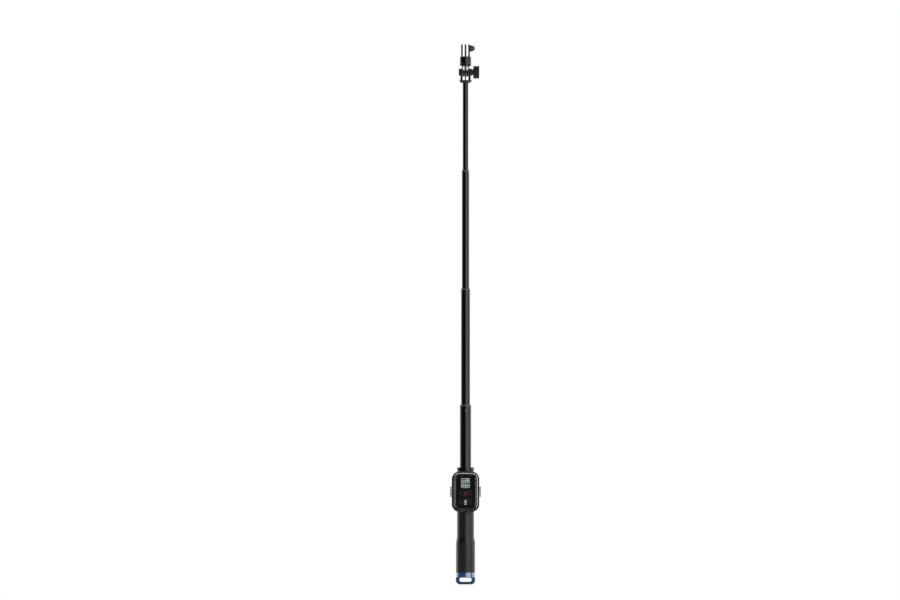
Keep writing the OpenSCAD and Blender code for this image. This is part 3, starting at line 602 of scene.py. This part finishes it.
# %% Strap loop
LOOP_BAR, LOOP_SIDE, LOOP_CORNER, SLOT_CORNER = 4.7, 6.2, 8.5, 3.4
LOOP_HALF_DEPTH, LOOP_EDGE, PLUG_R = 6, 1.5, 10
RING_WALL, RING_EDGE, RING_FIT = 2, 0.5, 0.05
ring_low, ring_high = size("accent_ring")
ring_r, loop_top = ring_high.y, ring_low.z


def make_strap_loop():
    plug_top = size("strap_loop")[1].z
    slot_top = loop_top - 0.3
    outline = eased([(-ring_r, 0, LOOP_CORNER), (ring_r, 0, LOOP_CORNER),
                     (ring_r, loop_top), (-ring_r, loop_top)], 12)
    slot = rounded(2 * (ring_r - LOOP_SIDE), slot_top - LOOP_BAR, SLOT_CORNER,
                   (slot_top + LOOP_BAR) / 2)
    loop = plate(front, [outline, slot], -LOOP_HALF_DEPTH, LOOP_HALF_DEPTH)
    below_ring = (loop_top - 0.1) * MM
    soften(loop, LOOP_EDGE, 4, lambda e: min(v.co.z for v in e.verts) < below_ring)
    collar_r = ring_r - RING_WALL - RING_FIT
    grip_foot = ring_high.z
    plug = lathe([(0, loop_top), (collar_r, loop_top), (collar_r, grip_foot),
                  (PLUG_R, grip_foot), (PLUG_R, plug_top), (0, plug_top)], 64)
    return piece("strap_loop_body", combine(loop, plug), "handle", ["strap_loop"], "blue_plastic")


show(make_strap_loop())

# %% [markdown]
# The ring above the loop is turned aluminium, dyed and polished. A torus would be too round, so
# it is a lathe part, a flat band with two small rolled edges.


# %% Coloured ring
def make_accent_ring():
    inner = ring_r - RING_WALL
    outline = eased([(inner, ring_low.z), (ring_r, ring_low.z, RING_EDGE),
                     (ring_r, ring_high.z, RING_EDGE), (inner, ring_high.z)])
    return piece("accent_ring_turned", lathe(outline, 128), "handle", ["accent_ring"],
                 "blue_anodised")


show(make_accent_ring())

# %% [markdown]
# ## Grip and collar
# The grip is one sleeve of soft-touch rubber over a plastic core. It swells below the neck in a
# smooth S so that the hand doesn't slip off. A cosine gives that S without a corner at either
# end, so its points go straight into a lathe outline.

# %% Grip
GRIP_R, NECK_R, FLARE_LOW, FLARE_HIGH = 16.75, 15.0, 73.0, 85.0
GRIP_BORE = 13.05


def make_grip():
    low, high = size("grip_sleeve")
    turns = [i / 20 for i in range(21)]
    flare = [(NECK_R + (GRIP_R - NECK_R) * (1 + math.cos(math.pi * t)) / 2,
              FLARE_LOW + (FLARE_HIGH - FLARE_LOW) * t) for t in turns]
    outline = eased([(GRIP_BORE, low.z), (GRIP_R, low.z, 0.7), *flare, (NECK_R, high.z, 0.5),
                     (GRIP_BORE, high.z)])
    return piece("grip_rubber", lathe(outline, 128), "handle", ["grip_sleeve"], "black_rubber")


show(make_grip())

# %% [markdown]
# The collar above the holder is a harder moulding. A thin groove parts its two bands, and the
# upper band has a wide rounded shoulder toward the tube. It is turned, groove and all.

# %% Collar
COLLAR_BORE, GROOVE_DEPTH, GROOVE_HEIGHT, LOWER_BAND = 10.05, 0.55, 0.5, 3.55


def make_collar():
    low, high = size("collar_ring")
    outer, groove = high.x, high.x - GROOVE_DEPTH
    foot = low.z + LOWER_BAND
    top = foot + GROOVE_HEIGHT
    outline = eased([(COLLAR_BORE, low.z), (outer, low.z, 0.3), (outer, foot, 0.35),
                     (groove, foot), (groove, top), (outer, top, 0.35), (outer, high.z, 0.9),
                     (COLLAR_BORE, high.z, 0.3)])
    return piece("collar_moulding", lathe(outline, 128), "handle", ["collar_ring"],
                 "black_plastic")


show(make_collar())

# %% [markdown]
# ## Tubes and guide rings
# The four tubes are drawn aluminium with a black anodised skin. The frame's own meshes would do,
# but a long highlight shows every flat facet on a tube. So the tubes are turned again with many
# sides and a smooth skin.

# %% Tubes
TUBE_WALL = 0.8


def make_tube(node, body):
    low, high = size(node)
    outer = high.x
    outline = eased([(outer - TUBE_WALL, low.z), (outer, low.z, 0.15), (outer, high.z, 0.15),
                     (outer - TUBE_WALL, high.z)], 2)
    return piece(node + "_drawn", lathe(outline, 128), body, [node], "black_tube")


show(make_tube("tube_1", "handle"))
show(*[make_tube(f"tube_{n}", f"stage_{n}") for n in (2, 3, 4)])

# %% [markdown]
# Each mouth has an acetal ring that guides the next tube. A small button through the tube's wall
# holds it. A flat button would stand proud at its rim and catch when the pole closes, so its face
# is pulled onto the tube's own curve.

# %% Guide rings
BUTTON_ANGLES = [7, -90, 110]
BUTTON_R, BUTTON_DROP, MOUTH = 2.2, 9.8, 2.6
BUTTON_DEPTH, BUTTON_PROUD, SLIDE_GAP, SLEEVE_GAP = 0.95, 0.012, 0.08, 0.05


def make_button(outer, turn, height):
    """A small round button whose face follows the tube, so that it slides in without catching."""
    face = [(BUTTON_R * i / 4, outer) for i in (4, 3, 2, 1, 0)]
    foot = outer - BUTTON_DEPTH
    button = lathe([(0, foot), (BUTTON_R, foot), *face], 32)
    button.transform(Matrix.Rotation(math.radians(90), 4, "X"))
    for vert in button.verts:
        if -vert.co.y > (outer - 0.5) * MM:
            vert.co.xy = vert.co.xy.normalized() * (outer + BUTTON_PROUD) * MM
    turned = Matrix.Rotation(math.radians(turn), 4, "Z")
    button.transform(Matrix.Translation((0, 0, height * MM)) @ turned)
    return button


def make_guide_ring(n, body):
    low, high = size(f"guide_ring_{n}")
    outer = size(f"tube_{n}")[1].x
    bore = size(f"tube_{n + 1}")[1].x + SLIDE_GAP
    sleeve = outer - TUBE_WALL - SLEEVE_GAP
    flange = high.z - MOUTH
    outline = eased([(bore, low.z), (sleeve, low.z), (sleeve, flange), (outer, flange, 0.1),
                     (outer, high.z, 0.55), (bore, high.z, 0.2)], 3)
    ring = lathe(outline, 128)
    button = make_button(outer, BUTTON_ANGLES[n - 1], high.z - BUTTON_DROP)
    return piece(f"guide_ring_{n}_acetal", combine(ring, button), body, [f"guide_ring_{n}"],
                 "guide_plastic")


show(make_guide_ring(1, "handle"), make_guide_ring(2, "stage_2"), make_guide_ring(3, "stage_3"))

# %% [markdown]
# ## Remote's holder
# The holder is a dark moulded tray on the front of the handle. Its clear frame is polycarbonate,
# and what shows of it is mostly its polished corners, which gather light from inside the wall.
# So its flats are nearly invisible, and the edges, the bead, the side strips and the pull ears are
# painted brighter than the flats. That colour is painted light: a painted highlight on the edges
# and the bead, and on the strips and ears the light that shows through the clear walls. The frame
# is built as several plates in one piece, because every plate's faces can then take a finish by
# number.

# %% Clear frame
CORNER_R, WALL, LIP, FRAME_BACK = 13.8, 3.4, 1.8, 20.3
WINDOW_W, WINDOW_H, WINDOW_CORNER = 33.3, 58, 7.15
EAR_HEIGHT, EAR_WIDTH, LIT_STRIP_WIDTH, LIT_STRIP_X = 18.5, 3.6, 3.2, 18.6
HINGE_Y, HINGE_Z, KNUCKLE_R, KNUCKLE_BORE, KNUCKLE_HALF = -19.0, 129.3, 1.7, 0.86, 5
WEB_HALF, WEB_BACK, WEB_FRONT = 1.3, 19.8, 22.4
BEAD, EAR, LIT_STRIP = 2, 3, 4


def painted(shape, number):
    """Gives every face of a shape one of the piece's finishes, by number."""
    for face in shape.faces:
        face.material_index = number
    return shape


def make_clear_frame():
    low, high = size("clear_frame")
    tray_low, tray_high = size("cradle_base")
    wide, tall = 2 * tray_high.x, tray_high.z - tray_low.z
    mid = (tray_high.z + tray_low.z) / 2
    face = -low.y
    lip_back, lip_face = face - LIP, face - 0.04

    def inset(step):
        """The tray's outline, moved inwards."""
        return rounded(wide - 2 * step, tall - 2 * step, CORNER_R - step, mid)

    wall = plate(front, [inset(0), inset(WALL)], FRAME_BACK, lip_back)
    window = rounded(WINDOW_W, WINDOW_H, WINDOW_CORNER, mid)
    lip = plate(front, [inset(0), window], lip_back, lip_face)
    front_y = -(lip_face - 0.05) * MM
    soften(lip, 0.9, 2, lambda e: all(v.co.y < front_y for v in e.verts))
    bead = plate(front, [inset(WALL - 0.6), inset(WALL + 0.5)], face - 0.2, face)
    # The bead takes the painted highlight.
    shells = [wall, lip, painted(bead, BEAD)]
    for x in (-1, 1):
        ear = plate(front, [rounded(EAR_WIDTH, EAR_HEIGHT, 0.8, mid)], face - 3.0, face - 1.0)
        # The ears are painted light grey for the light that shines through them.
        painted(soften(ear, 0.5, 2), EAR)
        bmesh.ops.translate(ear, verts=ear.verts, vec=(x * (high.x - EAR_WIDTH / 2) * MM, 0, 0))
        shells.append(ear)
        # Each side strip is a bright sheet of painted light, for the inner side wall seen through the
        # lip.
        rib = plate(front, [rounded(LIT_STRIP_WIDTH, tall - 2 * CORNER_R + 9, LIT_STRIP_WIDTH / 2, mid)],
                    lip_back - 0.15, lip_back + 0.02)
        bmesh.ops.translate(rib, verts=rib.verts, vec=(x * LIT_STRIP_X * MM, 0, 0))
        shells.append(painted(rib, LIT_STRIP))
    knuckle = along_x(lathe([(KNUCKLE_BORE, -KNUCKLE_HALF), (KNUCKLE_R, -KNUCKLE_HALF),
                             (KNUCKLE_R, KNUCKLE_HALF), (KNUCKLE_BORE, KNUCKLE_HALF)], 32), 0)
    knuckle.transform(Matrix.Translation((0, HINGE_Y * MM, HINGE_Z * MM)))
    foot, top = HINGE_Z - WEB_HALF, HINGE_Z + WEB_HALF
    web = plate(front, [[(-KNUCKLE_HALF, foot), (KNUCKLE_HALF, foot), (KNUCKLE_HALF, top),
                         (-KNUCKLE_HALF, top)]], WEB_BACK, WEB_FRONT)
    # The frame's bevel strips take the edges' painted highlight.
    moulding = piece("clear_frame_moulding", combine(*shells, knuckle, web), "frame_door",
                     ["clear_frame"], "clear_plastic", CLEAR_EDGE_HIGHLIGHT)
    for extra in (CLEAR_BEAD_HIGHLIGHT, CLEAR_EAR_LIT, CLEAR_LIT_STRIP):
        moulding.data.materials.append(extra)
    return moulding


show(make_clear_frame())

# %% [markdown]
# ## Remote
# The remote is a flat box of two shells. Only the front one shows, and it is cut as a plate with
# a hole for the display and one for each key, over a rim. The back shell keeps its mesh from the
# frame, because the holder hides it.

# %% Front shell
REMOTE_CORNER, SPLIT, FACE_T = 9.8, 21.2, 1.4
SIGHT_LEDGE, SIGHT_CORNER = 0.5, 1.2
KEY_W, KEY_CORNER, KEY_FLANGE, KEY_GAP = 24, 3, 1.8, 0.6


def remote_holes():
    window_low, window_high = size("remote_window")
    wide, tall = 2 * window_high.x, window_high.z - window_low.z
    holes = [rounded(wide - SIGHT_LEDGE, tall - SIGHT_LEDGE, SIGHT_CORNER,
                     (window_low.z + window_high.z) / 2, 4)]
    for node in ("remote_upper_button", "remote_lower_button"):
        low, high = size(node)
        tall = high.z - low.z - KEY_FLANGE
        holes.append(rounded(KEY_W + KEY_GAP, tall + KEY_GAP, KEY_CORNER + KEY_GAP / 2,
                             (low.z + high.z) / 2, 5))
    return holes


def make_remote_face():
    low, high = size("remote_front_shell")
    mid, tall, wide = (low.z + high.z) / 2, high.z - low.z, 2 * high.x
    outline = rounded(wide, tall, REMOTE_CORNER, mid, 12)
    face_y = low.y + 0.05
    face = plate(front, [outline, *remote_holes()], -low.y - FACE_T, -low.y)
    rim = rounded(wide - 2 * FACE_T, tall - 2 * FACE_T, REMOTE_CORNER - FACE_T, mid, 12)
    wall = plate(front, [outline, rim], SPLIT + 0.05, -low.y - FACE_T)
    soften(face, 0.3, 3, lambda e: all(v.co.y / MM < face_y for v in e.verts))
    return piece("remote_face", combine(face, wall), "handle", ["remote_front_shell"],
                 "remote_plastic")


show(make_remote_face())

# %% [markdown]
# The reading is dark ink in the display's glass. A painted texture would blur up close, so each
# stroke is a thin plate a few hundredths of a millimetre proud of the panel. Digits are built
# from seven bars, as on any small display, and the other strokes are plain blocks.

# %% Display
INK_T = 0.06
SEGMENTS = {0: "abcdef", 2: "abged", 8: "abcdefg"}
DIGITS, DIGIT_PITCH, DIGIT_RISE, COLON_GAP = (0, 0, 2, 8), 3.35, 4.2, 0.5
# The other strokes, as (across, up, width, height) from the reading's lower left corner
BLOCKS = [(6.35, 4.9, 0.55, 0.6), (6.35, 6.5, 0.55, 0.6), (0, 13.0, 7.2, 1.5), (0, 9.9, 9.0, 1.1)]
BLOCKS += [(9.4, 13.0 + 0.5 * i, 0.9, 0.25) for i in range(3)]
BLOCKS += [(11.0 + 0.9 * i, 13.0, 0.6, 0.6 + 0.35 * i) for i in range(3)]
BLOCKS += [(1.6 * i, 0, 1.0, 1.5) for i in range(5)]
BLOCKS += [(9.2, 0.2, 3.6, 1.1)]


def bar(x, z, wide, tall, depth):
    """A thin dark stroke of the reading, on the display's face."""
    return plate(front, [[(x, z), (x + wide, z), (x + wide, z + tall), (x, z + tall)]],
                 depth, depth + INK_T)


def digit(number, x, z, depth, wide=2.5, tall=3.8, line=1.0):
    """A seven-segment digit, the style that every small display of this kind has."""
    half = tall / 2
    places = {
        "a": (x, z + tall - line, wide, line), "d": (x, z, wide, line),
        "g": (x, z + half - line / 2, wide, line), "b": (x + wide - line, z + half, line, half),
        "c": (x + wide - line, z, line, half), "e": (x, z, line, half),
        "f": (x, z + half, line, half),
    }
    return [bar(*places[s], depth) for s in SEGMENTS[number]]


def print_with(thing, ink):
    """Gives a whole piece one printed finish."""
    for i in range(len(thing.data.materials)):
        thing.data.materials[i] = ink


def make_display():
    low = size("remote_display")[0]
    depth = -low.y
    left, foot = low.x + 1.5, low.z + 1.6
    strokes = []
    for i, number in enumerate(DIGITS):
        across = left + DIGIT_PITCH * i + (COLON_GAP if i > 1 else 0)
        strokes += digit(number, across, foot + DIGIT_RISE, depth)
    strokes += [bar(left + x, foot + z, wide, tall, depth) for x, z, wide, tall in BLOCKS]
    reading = piece("display_reading", combine(*strokes), "handle", [], "display")
    print_with(reading, INK)
    return reading


show(make_display())

# %% [markdown]
# The two keys are rubber caps on a wider flange that keeps them in the shell. Their signs are
# printed. Each sign is a very thin plate that rides on its key's body, so it moves when the key
# is pressed. The signs are generic: a dot, and a drop over a bar.

# %% Keys
CAP_DEPTH, CAP_SINK, FLANGE_DEPTH, KEY_EDGE = 2.0, 0.06, 2.8, 0.35
SIGN_BACK, SIGN_FACE = 0.07, 0.01


def make_key(name, node, body, marks, mark_finish):
    low, high = size(node)
    tall, mid, face = high.z - low.z - KEY_FLANGE, (high.z + low.z) / 2, -low.y
    back = face - CAP_DEPTH
    cap = plate(front, [rounded(KEY_W, tall, KEY_CORNER, mid, 6)], back, face - CAP_SINK)
    soften(cap, KEY_EDGE, 3, lambda e: all(v.co.y / MM < -(face - 0.2) for v in e.verts))
    wider = rounded(KEY_W + KEY_FLANGE, tall + KEY_FLANGE, KEY_CORNER + KEY_FLANGE / 2, mid, 6)
    flange = plate(front, [wider], face - FLANGE_DEPTH, back)
    key = piece(name, combine(cap, flange), body, [node], "button_rubber")
    glyph = combine(*[plate(front, [[(u, v + mid) for u, v in loop] for loop in mark],
                            face - SIGN_BACK, face - SIGN_FACE) for mark in marks])
    sign = piece(name + "_mark", glyph, body, [], "button_rubber")
    print_with(sign, mark_finish)
    return key, sign


def drop_mark():
    """A drop above a short bar, a plain sign for the lower key."""
    head = [(0, 3.4), *arc(0, -0.9, 2.3, 28, -208, 18)]
    eye_hole = circle(0, -0.75, 1.45, 20)
    foot = [(-2.2, -5.2), (2.2, -5.2), (2.2, -4.2), (-2.2, -4.2)]
    return [[head, eye_hole], [foot]]


show(*make_key("upper_key", "remote_upper_button", "upper_button",
               [[circle(0, -0.6, 3.3, 40)]], RED_PRINT))
show(*make_key("lower_key", "remote_lower_button", "lower_button", drop_mark(), WHITE_PRINT))

# %% [markdown]
# ## Head
# The head is glass-filled nylon. A fork with a middle rib holds two tongues, and a bolt with a
# fluted knob clamps them. The fork could be carved from a block with booleans, but those can leave
# rough seams at the bevels. It is stacked from plates and a turned cup instead, and the edges that
# show have a small radius.

# %% Fork
RIB_HALF, EAR_IN, EAR_OUT, BOSS_OUT, BOSS_R = 1.05, 5.0, 9.1, 12.0, 6.0
FORK_R, BOLT_R, SPIGOT, SPIGOT_R, HEX_R = 7.8, 2.58, 14, 4.15, 4.73
CUP_FOOT_R, CUP_R, CUP_FLARE, CUP_H = 9.0, 11.5, 4, 5.2
fork_low, fork_high = size("head_fork")
cup_z = fork_low.z + SPIGOT
hub_z = fork_high.z - FORK_R


def finger(radius, half, foot, height, hole):
    """The outline of an upright plate with a round end, and its hole, round a height."""
    return [[(half, foot), *arc(0, height, radius, 0, 180, 24), (-half, foot)],
            circle(0, height, hole, 32)]


def make_fork():
    cup = lathe(eased([(0, fork_low.z), (SPIGOT_R, fork_low.z), (SPIGOT_R, cup_z),
                       (CUP_FOOT_R, cup_z, 0.4), (CUP_R, cup_z + CUP_FLARE, 0.5),
                       (CUP_R, cup_z + CUP_H, 0.5), (0, cup_z + CUP_H)]), 96)
    foot = cup_z + CUP_FLARE
    rib = plate(side, finger(FORK_R, FORK_R, foot, hub_z, BOLT_R), -RIB_HALF, RIB_HALF)
    shells = [cup, soften(rib, 0.3, 2)]
    for low, high in ((EAR_IN, EAR_OUT), (-EAR_OUT, -EAR_IN)):
        ear = plate(side, finger(FORK_R - 0.6, FORK_R - 0.8, foot, hub_z, BOLT_R), low, high)
        shells.append(soften(ear, 0.45, 3))
    clamp_boss = plate(side, [circle(0, hub_z, BOSS_R), circle(0, hub_z, BOLT_R, 32)],
                       EAR_OUT - 0.5, BOSS_OUT)
    flats = circle(0, hub_z, HEX_R, 6)
    nut_boss = plate(side, [circle(0, hub_z, BOSS_R), flats], -BOSS_OUT, -EAR_OUT + 0.5)
    shells += [soften(clamp_boss, 0.4, 3), soften(nut_boss, 0.3, 2)]
    return piece("head_fork_moulding", combine(*shells), "stage_4", ["head_fork"],
                 "black_plastic")


show(make_fork())

# %% [markdown]
# The swivel base hangs two tongues in the fork and carries the lower disc of the swivel. The
# tongues are cored from above to save weight, so each is made as two thin cheeks with a filling
# between them only near the bolt.

# %% Swivel base
TONGUE_R, NECK_HALF, TONGUE_SPREAD = 7.5, 6.0, 37
CORE_RISE, NECK_RISE, SEAT_RISE = 4.2, 8.3, 10.8
DISC_R, DISC_H, POST_R, POST_H = 10.25, 5.2, 5, 9.4
# Places along X of the tongues' cheeks, of the filling between them, and of the shoulders
CHEEKS, CORE, SHOULDER, MIDDLE_HALF = ((1.2, 2.2), (3.85, 4.85)), (2.1, 3.95), (3.85, 6.5), 2.2
SINK = 0.1
seat_z = hub_z + SEAT_RISE


def box_plate(low, high, half, foot, top):
    """A plain upright block between two places along X."""
    return plate(side, [[(half, foot), (half, top), (-half, top), (-half, foot)]], low, high)


def finger_down(radius, half, top, height, hole):
    """A hanging plate: straight from the top, round below the hole."""
    start = 180 - TONGUE_SPREAD
    return [[(-half, top), *arc(0, height, radius, start, 540 - start, 32), (half, top)],
            circle(0, height, hole, 32)]


def lower_disc(height, rise):
    """A disc with its top cut off level, a rise above its centre."""
    start = math.degrees(math.asin(rise / TONGUE_R))
    return arc(0, height, TONGUE_R, 180 - start, 360 + start, 32)


def across(way, low, high):
    """Two places along X, on the left or the right, with the lower one first."""
    return sorted((way * low, way * high))


def make_swivel_base():
    shells = []
    neck_z = hub_z + NECK_RISE
    for way in (-1, 1):
        for cheek_place in CHEEKS:
            cheek = plate(side, finger_down(TONGUE_R, NECK_HALF, seat_z, hub_z, BOLT_R),
                          *across(way, *cheek_place))
            shells.append(soften(cheek, 0.25, 2))
        shells.append(plate(side, [lower_disc(hub_z, CORE_RISE), circle(0, hub_z, BOLT_R, 32)],
                            *across(way, *CORE)))
        outer = box_plate(*across(way, *SHOULDER), NECK_HALF, neck_z, seat_z + SINK)
        shells.append(soften(outer, 0.35, 2))
    shells.append(box_plate(-MIDDLE_HALF, MIDDLE_HALF, NECK_HALF, neck_z, seat_z + SINK))
    r, disc = DISC_R, seat_z + DISC_H
    shells.append(lathe(eased([(0, seat_z), (r - 1.5, seat_z, 0.3), (r, seat_z + 1.8, 0.4),
                               (r, disc, 0.5), (POST_R, disc), (POST_R, disc + POST_H, 0.4),
                               (0, disc + POST_H)]), 96))
    return piece("swivel_base_moulding", combine(*shells), "tilt_head", ["swivel_base"],
                 "black_plastic")


show(make_swivel_base())

# %% [markdown]
# The camera clamps between three thin fingers on a turning barrel. The fingers are one plate
# repeated at the pitch. The outer two are slightly narrower, to stay inside the barrel's circle.

# %% Fingers
FINGER_R, FINGER_T, PITCH, HOLE_R = 7.5, 3.0, 6.3, 2.6
BARREL_R, BARREL_H, BARREL_BORE, BARREL_CHAMFER = 10.0, 11.6, 5.08, 1.8
BLADE_SINK, OUTER_NARROWER = 1.2, 0.85
barrel_low, barrel_high = size("finger_mount")
finger_hole_z = barrel_high.z - FINGER_R


def make_fingers():
    foot, top, r = barrel_low.z, barrel_low.z + BARREL_H, BARREL_R
    barrel = lathe(eased([(BARREL_BORE, foot), (r, foot, 0.5), (r, top - BARREL_CHAMFER, 0.5),
                          (r - 1.25, top, 0.4), (0, top), (0, foot + POST_H),
                          (BARREL_BORE, foot + POST_H)]), 96)
    shells = [barrel]
    for i in (-1, 0, 1):
        half = FINGER_R - OUTER_NARROWER * abs(i)
        blade = plate(side, finger(FINGER_R, FINGER_R, top - BLADE_SINK, finger_hole_z, HOLE_R),
                      i * PITCH - FINGER_T / 2, i * PITCH + FINGER_T / 2)
        bmesh.ops.scale(blade, vec=(1, half / FINGER_R, 1), verts=blade.verts)
        shells.append(soften(blade, 0.3, 3))
    return piece("finger_mount_moulding", combine(*shells), "finger_head", ["finger_mount"],
                 "black_plastic")


show(make_fingers())

# %% [markdown]
# A small domed cap beside the fingers holds the nut for the camera's screw. A stretch of an
# ellipse, spun round the screw's axis, makes the dome, with a pocket that opens to the fingers.

# %% Nut cap
NUT_BORE_R, NUT_BORE_DEPTH = 4.1, 4.2
DOME_LENGTH, DOME_STEPS = 1.1, 16


def make_nut_cap():
    low, high = size("nut_cap")
    r, reach = (high.z - low.z) / 2, high.x - low.x
    dome = reach * DOME_LENGTH
    steps = [reach * i / DOME_STEPS for i in range(DOME_STEPS + 1)]
    sweep = [(r * math.sqrt(1 - (x / dome) ** 2), low.x + x) for x in steps]
    pocket = low.x + NUT_BORE_DEPTH
    hollow = [(0, pocket), (NUT_BORE_R, pocket), (NUT_BORE_R, low.x)]
    shape = along_x(lathe([*hollow, *sweep, (0, high.x)], 64), (low.z + high.z) / 2)
    return piece("nut_cap_dome", shape, "finger_head", ["nut_cap"], "black_plastic")


show(make_nut_cap())

# %% [markdown]
# The knob's flutes give wet fingers a hold. Each is an arc bitten out of the rim, between lands
# that follow the knob's circle. The bevel stays very small, because a wide one would make the
# strips at the flutes' tips run into each other.

# %% Clamp knob
FLUTES, FLUTE_R, FLUTE_OUT, FLUTE_SWEEP, LAND = 20, 1.15, 0.35, 65, 0.55
KNOB_NECK, KNOB_NECK_R, KNOB_EDGE, KNOB_BORE = 0.6, 5.4, 0.18, 2.55
RECESS_R, RECESS_DEPTH, CORE_R, CAP_R = 6.6, 1.1, 7.0, 6.5


def make_knob():
    low, high = size("clamp_knob")
    r = (high.z - low.z) / 2 + 0.05
    body = low.x + KNOB_NECK
    outline = []
    land = 360 / FLUTES / 2
    for i in range(FLUTES):
        middle = 360 * i / FLUTES
        outline += arc(0, 0, r, middle + (1 - LAND) * land, middle + (1 + LAND) * land, 3)
        flute = middle + 2 * land
        way, reach = math.radians(flute), r + FLUTE_OUT
        cx, cy = reach * math.cos(way), reach * math.sin(way)
        inward = flute + 180
        outline += arc(cx, cy, FLUTE_R, inward + FLUTE_SWEEP, inward - FLUTE_SWEEP, 6)
    outline = [(u, v + hub_z) for u, v in outline]
    head = plate(side, [outline, circle(0, hub_z, RECESS_R, 64)], body, high.x)
    soften(head, KNOB_EDGE, 2)
    bore = circle(0, hub_z, KNOB_BORE, 32)
    inner = plate(side, [circle(0, hub_z, CORE_R, 64), bore], body, high.x - RECESS_DEPTH)
    neck = plate(side, [circle(0, hub_z, KNOB_NECK_R), bore], low.x, body + 0.5)
    return piece("clamp_knob_moulding", combine(head, inner, neck), "knob", ["clamp_knob"],
                 "black_plastic")


def make_knob_cap():
    low, high = size("knob_cap")
    cap = plate(side, [circle(0, hub_z, CAP_R, 64)], low.x, high.x)
    soften(cap, 0.25, 2)
    return piece("knob_cap_disc", cap, "knob", ["knob_cap"], "black_plastic")


show(make_knob(), make_knob_cap())

# %% [markdown]
# ## Finishing
# Every solid of the frame gets the finish that the record names for it, also the hidden ones,
# because they show when the pole is taken apart. The washer under the knob is the one exception.
# It is blackened steel, so that no bright gap shows beside the black knob.

# %% Dress every solid of the frame
SLOT_OF = {s["node"]: s["material_slot"] for s in frame["record"]["subparts"]}
for name, solid in nodes.items():
    solid.material_slots[0].material = FINISHES[SLOT_OF[name]]
nodes["knob_washer"].material_slots[0].material = BLACK_OXIDE
print("dressed", len(nodes), "solids")
